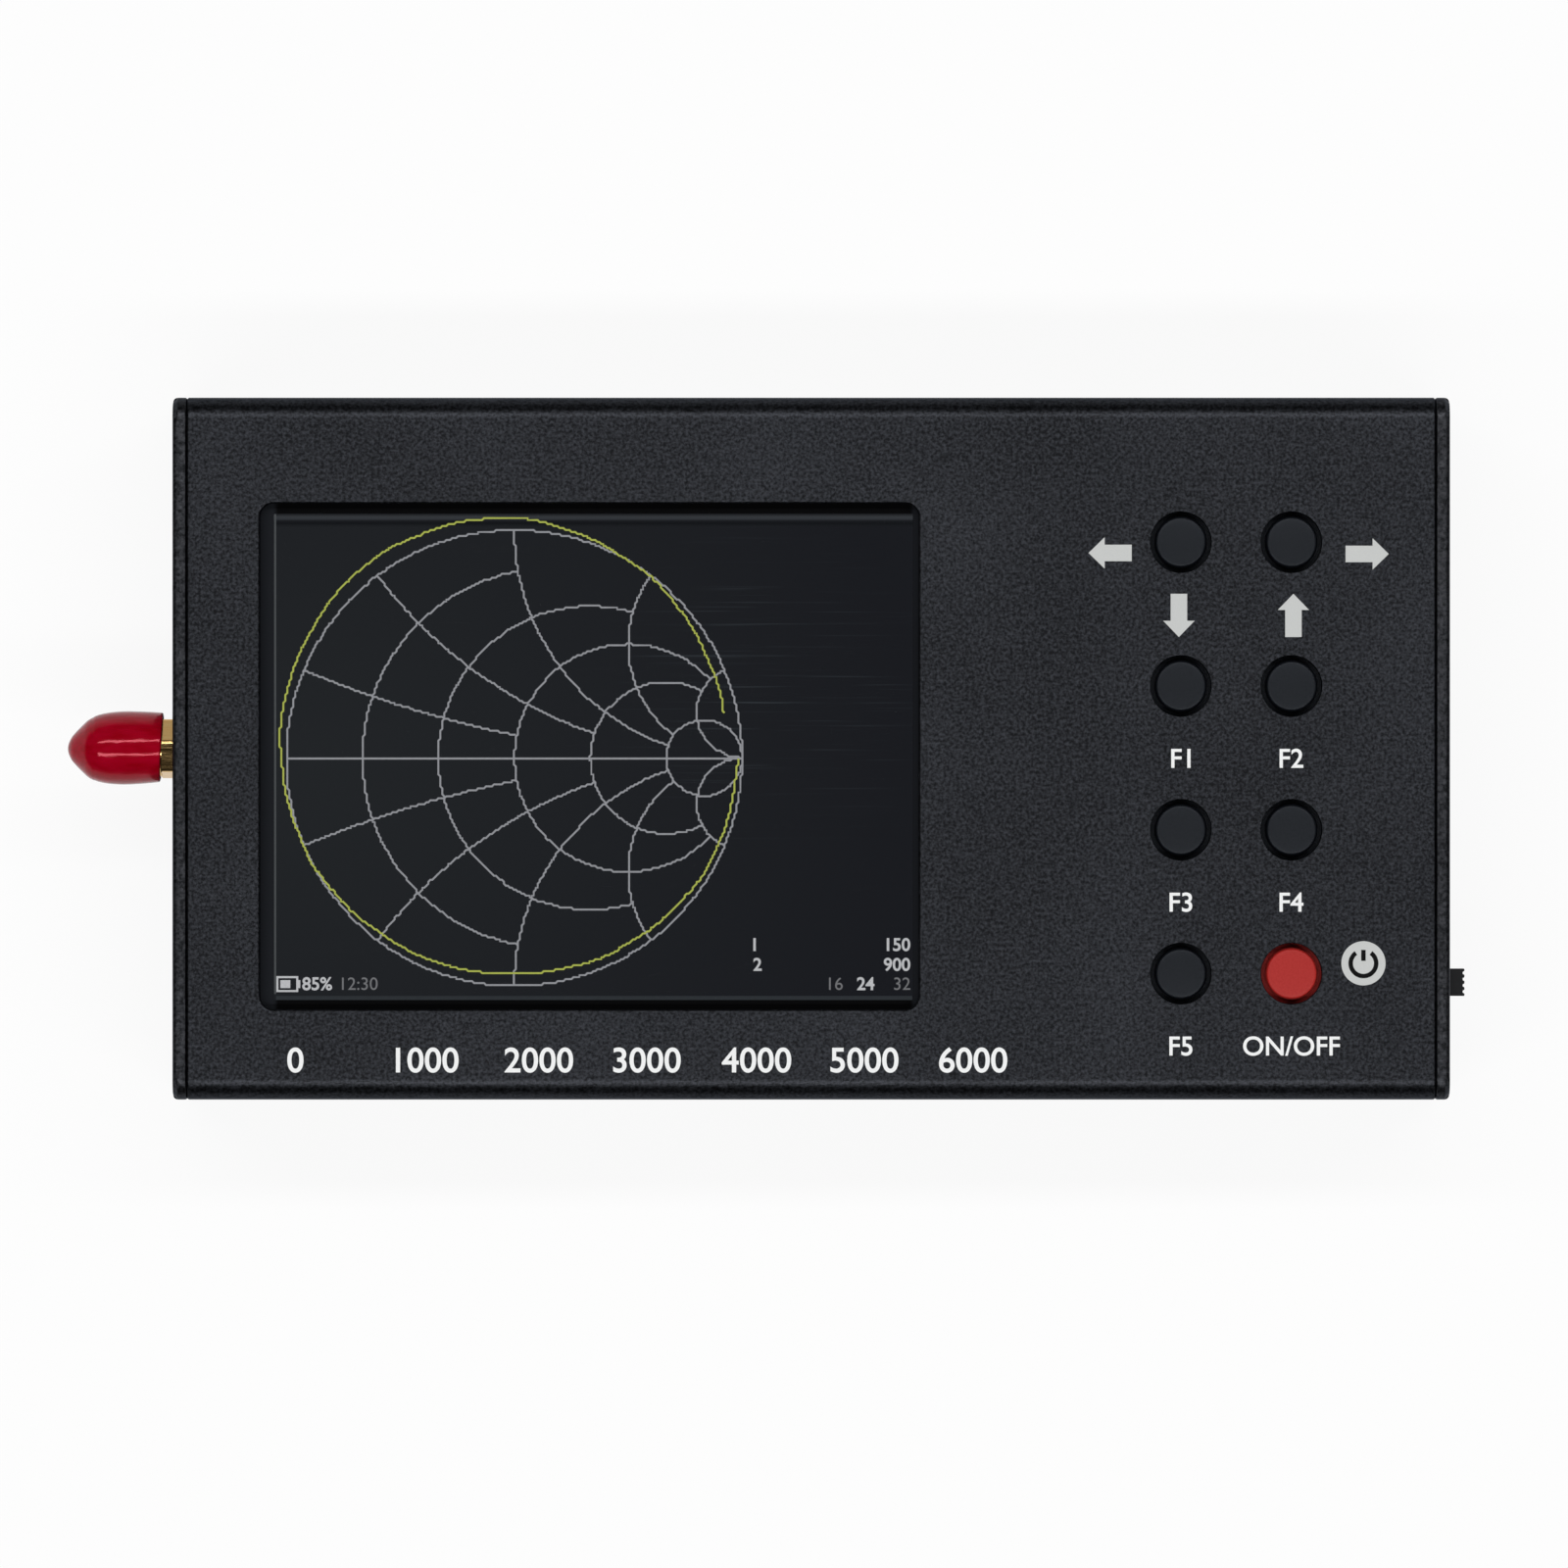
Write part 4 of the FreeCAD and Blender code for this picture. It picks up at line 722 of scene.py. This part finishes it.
def makeJack():
    # edge-mounted coaxial socket, turned and plated
    low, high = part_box("port_jack")
    centre = ((low.y + high.y) / 2, (low.z + high.z) / 2)
    boardLow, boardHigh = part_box("main_board")[0].z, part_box("main_board")[1].z
    crest = (high.z - low.z) / 2
    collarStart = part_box("left_end_plate")[0].x - jack["collarEnd"]
    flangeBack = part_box("port_insulator")[1].x
    flangeFront = flangeBack - jack["flangeThickness"]
    bm = bmesh.new()
    # barrel, bored through, with a bevelled mouth
    root, bore, bevel = jack["rootRadius"], jack["boreRadius"], jack["tipBevel"]
    barrelEnd = collarStart + jack["overlap"] - low.x
    spinProfile(bm, [(0, bore + jack["boreBreak"]), (0, root - bevel), (bevel, root),
                     (barrelEnd, root), (barrelEnd, bore), (jack["boreBreak"], bore)],
                (low.x, *centre), (1, 0, 0))
    # thread: one tooth wound along the barrel
    pitch, sunk = jack["pitch"], root - jack["toothSink"]
    rise, fall, foot = [share * pitch for share in jack["tooth"]]
    start = low.x + jack["threadStart"]
    turns = int((collarStart - start - pitch) / pitch)
    verts = [bm.verts.new((start + along, centre[0], centre[1] + radius))
             for along, radius in ((0, sunk), (rise, crest), (fall, crest), (foot, sunk))]
    face = bm.faces.new(verts)
    steps = jack["threadSteps"] * turns
    bmesh.ops.spin(bm, geom=[face], cent=(start, *centre), axis=(1, 0, 0),
                   dvec=(pitch * turns / steps, 0, 0), angle=2 * math.pi * turns,
                   steps=steps, use_merge=False, use_duplicate=False)
    # six-sided collar with turned-down corners, through the plate to the flange
    ring = bmesh.ops.create_circle(bm, segments=6, radius=crest, matrix=(
        Matrix.Translation((collarStart, *centre)) @ Matrix.Rotation(math.radians(90), 4, "Y")
        @ Matrix.Rotation(math.radians(jack["collarTurn"]), 4, "Z")))["verts"]
    edges = list({edge for vert in ring for edge in vert.link_edges})
    cut = bmesh.ops.subdivide_edges(bm, edges=edges, cuts=jack["collarCuts"])
    outline = [e for e in cut["geom"] if isinstance(e, bmesh.types.BMEdge)]
    outline = list({e for e in outline} | {e for e in edges if e.is_valid})
    inner = bmesh.ops.extrude_edge_only(bm, edges=outline)["geom"]
    for vert in [g for g in inner if isinstance(g, bmesh.types.BMVert)]:
        offset = Vector((0, vert.co.y - centre[0], vert.co.z - centre[1]))
        offset *= (jack["chamferRadius"] - jack["chamferSink"]) / offset.length
        vert.co.y, vert.co.z = centre[0] + offset.y, centre[1] + offset.z
    outer = {v for e in outline for v in e.verts}
    back = bmesh.ops.extrude_edge_only(bm, edges=outline)["geom"]
    for vert in [g for g in back if isinstance(g, bmesh.types.BMVert)]:
        vert.co.x = flangeFront
    for vert in outer:
        reach = math.hypot(vert.co.y - centre[0], vert.co.z - centre[1])
        past = max(0.0, reach - jack["chamferRadius"])
        vert.co.x += past * jack["chamferSlope"] / jack["acrossFlats"]
    corners = [e for v in outer for e in v.link_edges
               if math.hypot(v.co.y - centre[0], v.co.z - centre[1])
               > crest - jack["cornerTolerance"]
               and abs(e.verts[0].co.x - e.verts[1].co.x) > jack["cornerLength"]]
    bmesh.ops.bevel(bm, geom=corners, offset=jack["edgeRounding"], affect="EDGES", segments=3,
                    profile=0.5, material=-1)
    # flange and the legs that straddle the board
    half, leg = crest, jack["leg"]
    addBox(bm, (flangeFront, centre[0] - half, centre[1] - half),
           (flangeBack, centre[0] + half, centre[1] + half))
    for side in (-1, 1):
        edge = centre[0] + side * half
        for z in (boardHigh, boardLow - leg):
            addBox(bm, (flangeBack, min(edge, edge - side * leg), z),
                   (high.x, max(edge, edge - side * leg), z + leg))
    bmesh.ops.recalc_face_normals(bm, faces=bm.faces)
    piece = meshObject(bm, "portJack", materials["gold"], 30)
    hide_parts("port_jack")


makeDustCap()
makeJack()


print("display")
drawTop = pictureTop - picture["topGap"]
touch = {"gap": 0.06 * mm, "edgeBreak": 0.08 * mm}
# each circle and arc by its value, with the value of the other kind at which it stops
chart = {"column": 119.7, "row": 122.2, "radius": 114.7, "steps": 30, "ringSteps": 96,
         "limits": {0.2: 1, 0.5: 2, 1: 5, 2: 5, 5: None}}
# swings: times round, size, start in degrees; ripples: times round, share, start in radians; at
# both ends of its path the trace springs off by the kicks
trace = {"start": 12, "end": 360, "steps": 120, "middle": 0.997,
         "ripple": 0.0028, "ripples": ((9, 1, 0), (21, 0.7, 1)),
         "swings": ((1, 0.054, -35), (2, 0.016, -173), (3, 0.007, 161)),
         "kicks": (-0.028, 0.016), "fade": 18}
# texts in display dots: what it says, column, row of its foot, and the edge that stands there;
# the battery symbol's lit blocks: first and last column, first and last row
readings = {"height": 6.6, "boldness": 0.02,
            "bright": (("1", 240, 219.2, "LEFT"), ("150", 319, 219.2, "RIGHT"),
                       ("2", 240, 229.2, "LEFT"), ("900", 319, 229.2, "RIGHT"),
                       ("85%", 13, 238.9, "LEFT"), ("24", 301, 238.9, "RIGHT")),
            "dim": (("12:30", 33, 238.9, "LEFT"), ("16", 285, 238.9, "RIGHT"),
                    ("32", 319, 238.9, "RIGHT")),
            "battery": ((0, 10, 232, 232), (0, 10, 239, 239), (0, 0, 233, 238),
                        (10, 10, 233, 238), (2, 6, 234, 237), (11, 11, 234, 237))}
# painted highlight along the left and lower edges of the picture: its sizes
edgeHighlight = {"gap": 0.02 * mm, "sideWidth": 0.23 * mm, "sideDrop": 0.3 * mm,
            "lowFrom": 0.93 * mm, "lowTo": 0.5 * mm}
letter = {"capital": 0.73, "halfDepth": 0.01}     # of the plain font, per unit of its size


def makeTouchGlass():
    low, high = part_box("touch_panel")
    bm = bmesh.new()
    addBox(bm, (low.x, low.y, low.z + touch["gap"]), high)
    bmesh.ops.bevel(bm, geom=bm.edges, offset=touch["edgeBreak"], affect="EDGES", segments=2,
                    profile=0.5, material=-1)
    piece = meshObject(bm, "touchGlass", materials["glass"], 20)
    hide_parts("touch_panel")


def dotPath(points):
    # the display dots that a line through the points lights, in order; only its bends are kept
    dots = []
    for start, end in zip(points, points[1:]):
        steps = max(1, math.ceil(max(abs(end[0] - start[0]), abs(end[1] - start[1]))))
        for i in range(steps + 1):
            share = i / steps
            place = (math.floor(start[0] + (end[0] - start[0]) * share),
                     math.floor(start[1] + (end[1] - start[1]) * share))
            if not dots or dots[-1] != place:
                dots.append(place)
    bends = [b for a, b, c in zip(dots, dots[1:], dots[2:])
             if (b[0] - a[0], b[1] - a[1]) != (c[0] - b[0], c[1] - b[1])]
    return [dots[0]] + bends + [dots[-1]]


def litLines(name, paths, material, level=0):
    # lines of lit dots as flat ribbons one dot wide
    curve = bpy.data.curves.new(name, "CURVE")
    curve.dimensions = "3D"
    curve.bevel_depth = dot / 2
    curve.bevel_resolution = 0
    curve.use_fill_caps = True
    for path in paths:
        spline = curve.splines.new("POLY")
        spline.points.add(len(path) - 1)
        for point, (column, row) in zip(spline.points, path):
            point.co = (pictureLeft + (column + 0.5) * dot, drawTop - (row + 0.5) * dot, 0, 1)
    mesh = curveToMesh(curve)
    z = cellHigh.z + picture["lift"] * (level + 1)
    flatten = Matrix.Diagonal((1, 1, picture["thickness"] / dot, 1))
    mesh.transform(Matrix.Translation((0, 0, z)) @ flatten)
    joinMeshes(name, [mesh], material)


def litBlocks(name, blocks, material):
    bm = bmesh.new()
    top = cellHigh.z + picture["lift"]
    for firstColumn, lastColumn, firstRow, lastRow in blocks:
        addBox(bm, (pictureLeft + firstColumn * dot, drawTop - (lastRow + 1) * dot,
                    top - picture["thickness"]),
               (pictureLeft + (lastColumn + 1) * dot, drawTop - firstRow * dot, top))
    meshObject(bm, name, material)


def chartPoint(resistance, reactance):
    # where an impedance lies on the chart, in display dots
    z = complex(resistance, reactance)
    place = (z - 1) / (z + 1)
    return (chart["column"] + chart["radius"] * place.real,
            chart["row"] - chart["radius"] * place.imag)


def drawChart():
    # tangents and shares stop just short of the point where they would be infinite
    steps, ringSteps = chart["steps"], chart["ringSteps"]
    ring = [chartPoint(0, math.tan(math.pi * (i / ringSteps - 0.5) * 0.99999))
            for i in range(ringSteps + 1)]
    paths = [ring, [chartPoint(0, 0), (chart["column"] + chart["radius"], chart["row"])]]
    for resistance, limit in chart["limits"].items():
        widest = math.atan(limit / (1 + resistance)) if limit else math.pi / 2 * 0.9999
        paths.append([chartPoint(resistance,
                                 (1 + resistance) * math.tan(widest * (2 * i / steps - 1)))
                      for i in range(steps + 1)])
    for reactance, limit in chart["limits"].items():
        furthest = 1 - 1 / (1 + limit) if limit else 0.9995
        shares = [furthest * i / steps for i in range(steps + 1)]
        for side in (-1, 1):
            paths.append([chartPoint(share / (1 - share), side * reactance) for share in shares])
    litLines("chartGrid", [dotPath(path) for path in paths], materials["litGrid"])


def drawTrace():
    points = []
    for i in range(trace["steps"] + 1):
        turn = math.radians(trace["start"] + (trace["end"] - trace["start"]) * i / trace["steps"])
        reach = trace["middle"] + trace["ripple"] * sum(
            share * math.sin(times * turn + start) for times, share, start in trace["ripples"])
        for times, size, start in trace["swings"]:
            reach += size * math.sin(times * turn + math.radians(start))
        for end, kick in zip((trace["start"], trace["end"]), trace["kicks"]):
            reach += kick * math.exp(-abs(math.degrees(turn) - end) / trace["fade"])
        points.append((chart["column"] + chart["radius"] * reach * math.cos(turn),
                       chart["row"] - chart["radius"] * reach * math.sin(turn)))
    litLines("chartTrace", [dotPath(points)], materials["litTrace"], 1)


def textMesh(text, height, place, thickness, align="LEFT", boldness=0.0):
    # text as a mesh, its capitals height tall, its first, middle or last edge at place
    curve = bpy.data.curves.new("text", "FONT")
    curve.body = text
    curve.extrude = letter["halfDepth"]
    curve.offset = boldness
    mesh = curveToMesh(curve)
    xs = [v.co.x for v in mesh.vertices]
    size = height / letter["capital"]
    shift = {"LEFT": -min(xs), "CENTER": -(min(xs) + max(xs)) / 2, "RIGHT": -max(xs)}[align]
    flatten = Matrix.Diagonal((size, size, thickness / (2 * letter["halfDepth"]), 1))
    mesh.transform(Matrix.Translation(place) @ flatten @ Matrix.Translation((shift, 0, 0)))
    return mesh


def joinMeshes(name, meshes, material):
    bm = bmesh.new()
    for mesh in meshes:
        bm.from_mesh(mesh)
        bpy.data.meshes.remove(mesh)
    bmesh.ops.remove_doubles(bm, verts=bm.verts, dist=sameSpot / 10)    # letters have fine corners
    meshObject(bm, name, material)


def drawReadings():
    tall, z = readings["height"] * dot, cellHigh.z + picture["lift"]
    for name, rows, boldness, finish in (
        ("readings", readings["bright"], readings["boldness"], "litText"),
        ("dimReadings", readings["dim"], 0.0, "litDim"),
    ):
        joinMeshes(name, [
            textMesh(text, tall, (pictureLeft + column * dot, drawTop - row * dot, z),
                     picture["thickness"], edge, boldness)
            for text, column, row, edge in rows], materials[finish])
    litBlocks("batterySymbol", readings["battery"], materials["litText"])


def drawPaintedEdgeHighlight():
    # painted highlight: a pale glowing line along the left and lower edges of the picture, where
    # the edge under the glass catches the light
    z = cellHigh.z + picture["lift"] * 0.5
    inset = pictureLeft - edgeHighlight["gap"]
    for name, low, high in (
        ("Side", (pictureLeft - edgeHighlight["sideWidth"], pictureBottom - edgeHighlight["sideDrop"]),
         (inset, pictureTop)),
        ("Low", (inset, pictureBottom - edgeHighlight["lowFrom"]),
         (pictureRight, pictureBottom - edgeHighlight["lowTo"])),
    ):
        bm = bmesh.new()
        addBox(bm, (*low, z - picture["thickness"]), (*high, z))
        meshObject(bm, f"glow{name}", materials[f"lit{name}"])


makeTouchGlass()
drawChart()
drawTrace()
drawReadings()
drawPaintedEdgeHighlight()


print("print on the panel")
ink = {"thickness": 0.02 * mm, "lift": 0.006 * mm, "boldness": 0.012}
legend = {"height": 2.0 * mm, "drop": 8.3 * mm,
          "words": {"down": "F1", "up": "F2", "lower_left": "F3", "lower_right": "F4",
                    "enter": "F5", "power": "ON/OFF"}}
scale = {"height": 2.6 * mm, "inset": 1.2 * mm, "pitch": 11.05 * mm, "foot": -32.9 * mm,
         "numbers": 7, "step": 1000}
arrow = {"length": 4.4 * mm, "head": 1.65 * mm, "headWidth": 3.2 * mm, "shaft": 1.68 * mm,
         # key, offset from it, turn in degrees
         "places": (("left", -7.2 * mm, -1.1 * mm, 180), ("right", 7.7 * mm, -1.2 * mm, 0),
                    ("left", -0.2 * mm, -7.45 * mm, -90), ("right", 0.2 * mm, -7.45 * mm, 90))}
badge = {"radius": 2.25 * mm, "ringRadius": 1.3 * mm, "stroke": 0.46 * mm, "gap": 36,
         "bar": 1.12 * mm, "barBelow": 0.94, "barAbove": 0.06, "symbolLift": 0.002 * mm,
         "place": (7.32 * mm, 1.05 * mm)}
keyCentres = {name: (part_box(f"key_{name}_cap")[0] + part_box(f"key_{name}_cap")[1]) / 2
              for name in keyNames}


def arrowAt(bm, x, y, turn):
    # block arrow in ink that points along +X before it is turned
    half, neck = arrow["length"] / 2, arrow["length"] / 2 - arrow["head"]
    wide, thin = arrow["headWidth"] / 2, arrow["shaft"] / 2
    outline = [(-half, -thin), (neck, -thin), (neck, -wide), (half, 0), (neck, wide),
               (neck, thin), (-half, thin)]
    z = panelTop + ink["lift"]
    verts = [bm.verts.new((px, py, 0)) for px, py in outline]
    face = bm.faces.new(verts)
    lifted = bmesh.ops.extrude_face_region(bm, geom=[face])["geom"]
    raised = [g for g in lifted if isinstance(g, bmesh.types.BMVert)]
    bmesh.ops.translate(bm, vec=(0, 0, ink["thickness"]), verts=raised)
    place = Matrix.Translation((x, y, z - ink["thickness"]))
    place = place @ Matrix.Rotation(math.radians(turn), 4, "Z")
    bmesh.ops.transform(bm, matrix=place, verts=verts + raised)


def printArrows():
    bm = bmesh.new()
    for key, across, up, turn in arrow["places"]:
        arrowAt(bm, keyCentres[key].x + across, keyCentres[key].y + up, turn)
    bmesh.ops.recalc_face_normals(bm, faces=bm.faces)
    meshObject(bm, "arrows", materials["inkGrey"])


def printLegends():
    # a word under each key but the upper two, and a plain scale of numbers under the display
    z = panelTop + ink["lift"] - ink["thickness"] / 2
    meshes = []
    for name, word in legend["words"].items():
        centre = keyCentres[name]
        meshes.append(textMesh(word, legend["height"], (centre.x, centre.y - legend["drop"], z),
                               ink["thickness"], "CENTER", ink["boldness"]))
    for i in range(scale["numbers"]):
        x = pictureLeft + scale["inset"] + i * scale["pitch"]
        meshes.append(textMesh(str(scale["step"] * i), scale["height"], (x, scale["foot"], z),
                               ink["thickness"], boldness=ink["boldness"]))
    joinMeshes("legends", meshes, materials["inkWhite"])


def printBadge():
    # power symbol: dark ring and bar on a light disc
    centre = keyCentres["power"]
    x, y = centre.x + badge["place"][0], centre.y + badge["place"][1]
    z, thick = panelTop + ink["lift"], ink["thickness"]
    bm = bmesh.new()
    bmesh.ops.create_cone(bm, cap_ends=True, segments=72, radius1=badge["radius"],
                          radius2=badge["radius"], depth=thick,
                          matrix=Matrix.Translation((x, y, z - thick / 2)))
    meshObject(bm, "badgeDisc", materials["inkGrey"])
    bm = bmesh.new()
    half, middle = badge["stroke"] / 2, badge["ringRadius"]
    inner, outer = middle - half, middle + half
    first = math.radians(90 + badge["gap"])
    low = z + badge["symbolLift"] - thick
    corners = [(inner, low), (outer, low), (outer, low + thick), (inner, low + thick)]
    verts = [bm.verts.new((x + r * math.cos(first), y + r * math.sin(first), h))
             for r, h in corners]
    face = bm.faces.new(verts)
    bmesh.ops.spin(bm, geom=[face], cent=(x, y, 0), axis=(0, 0, 1), dvec=(0, 0, 0),
                   angle=math.radians(360 - 2 * badge["gap"]), steps=56, use_merge=False,
                   use_duplicate=False)
    addBox(bm, (x - half, y + middle - badge["bar"] * badge["barBelow"], low),
           (x + half, y + middle + badge["bar"] * badge["barAbove"], low + thick))
    bmesh.ops.recalc_face_normals(bm, faces=bm.faces)
    meshObject(bm, "badgeSymbol", materials["inkDark"])


printArrows()
printLegends()
printBadge()


print("stage")
stage = {"floorSize": 4.0, "floorDrop": 0.1 * mm, "floorGlow": 0.9,
         "strip": (1.4, 0.1), "stripDistance": 1.0, "stripTilt": 21.5, "stripPower": 6.1,
         # world light overhead and at the horizon, the share of it on the near side, and where in
         # the direction's Z and Y one turns into the other
         "zenith": 0.05, "horizon": 0.7, "nearSide": 0.35, "fadeUp": (0.06, 0.24),
         "fadeAcross": (-0.3, 0.3)}
camera = {"height": 1500 * mm, "width": 159.5 * mm, "middle": (-2.77 * mm, -3.6 * mm),
          "sensor": 36.0, "nearest": 0.01}


def makeFloor():
    # pale table, matt: white where the camera, a reflection or the glass sees it, and it still
    # takes the shadow
    bm = bmesh.new()
    bmesh.ops.create_grid(bm, x_segments=1, y_segments=1, size=stage["floorSize"] / 2)
    floor = addObject("floor", bareMesh(bm, "floor"))
    floor.location.z = -stage["floorDrop"]
    material, tree, shader = newMaterial("paleTable", Base_Color=hexColour("#f3f3f3"),
                                         Roughness=0.9, Specular_IOR_Level=0.1)
    rays = addNode(tree, "LightPath").outputs
    seen = addNode(tree, "Math", {0: rays["Is Camera Ray"], 1: rays["Is Glossy Ray"]},
                   operation="MAXIMUM")
    seen = addNode(tree, "Math", {0: seen.outputs["Value"], 1: rays["Is Transmission Ray"]},
                   operation="MAXIMUM")
    share = addNode(tree, "Math", {0: seen.outputs["Value"], 1: stage["floorGlow"]},
                    operation="MULTIPLY")
    white = addNode(tree, "Emission", {"Color": hexColour("#ffffff"), "Strength": 1.0})
    mixed = addNode(tree, "MixShader", {0: share.outputs["Value"], 1: shader.outputs["BSDF"],
                                        2: white.outputs["Emission"]})
    feed(tree.nodes["Material Output"], {"Surface": mixed.outputs["Shader"]})
    floor.data.materials.append(material)


def makeLights():
    # two long strips above, one towards each long side of the case
    for side in (-1, 1):
        light = bpy.data.lights.new("strip", "AREA")
        light.shape = "RECTANGLE"
        light.size, light.size_y = stage["strip"]
        light.energy = stage["stripPower"]
        lamp = addObject("strip", light)
        tilt = math.radians(stage["stripTilt"]) * side
        lamp.location = (0, stage["stripDistance"] * math.sin(tilt),
                         stage["stripDistance"] * math.cos(tilt))
        lamp.rotation_euler = (-tilt, 0, 0)


def makeWorld():
    # a dim ceiling above pale walls, darker on the near side
    world = bpy.data.worlds.new("studio")
    bpy.context.scene.world = world
    world.use_nodes = True
    tree = world.node_tree
    direction = addNode(tree, "TexCoord").outputs["Generated"]
    way = addNode(tree, "SeparateXYZ", {"Vector": direction}).outputs
    level = addNode(tree, "MapRange", {
        "Value": way["Z"], "From Min": stage["fadeUp"][0], "From Max": stage["fadeUp"][1],
        "To Min": stage["horizon"], "To Max": stage["zenith"]})
    side = addNode(tree, "MapRange", {
        "Value": way["Y"], "From Min": stage["fadeAcross"][0],
        "From Max": stage["fadeAcross"][1], "To Min": stage["nearSide"], "To Max": 1.0})
    light = addNode(tree, "Math", {0: level.outputs["Result"], 1: side.outputs["Result"]},
                    operation="MULTIPLY")
    feed(tree.nodes["Background"], {"Color": light.outputs["Value"]})


def makeCamera():
    data = bpy.data.cameras.new("camera")
    data.sensor_width = camera["sensor"]
    data.lens = camera["sensor"] * camera["height"] / camera["width"]
    data.clip_start = camera["nearest"]
    view = addObject("camera", data)
    view.location = (*camera["middle"], panelTop + camera["height"])
    bpy.context.scene.camera = view


makeFloor()
makeLights()
makeWorld()
makeCamera()
bpy.context.scene.view_settings.view_transform = "Standard"
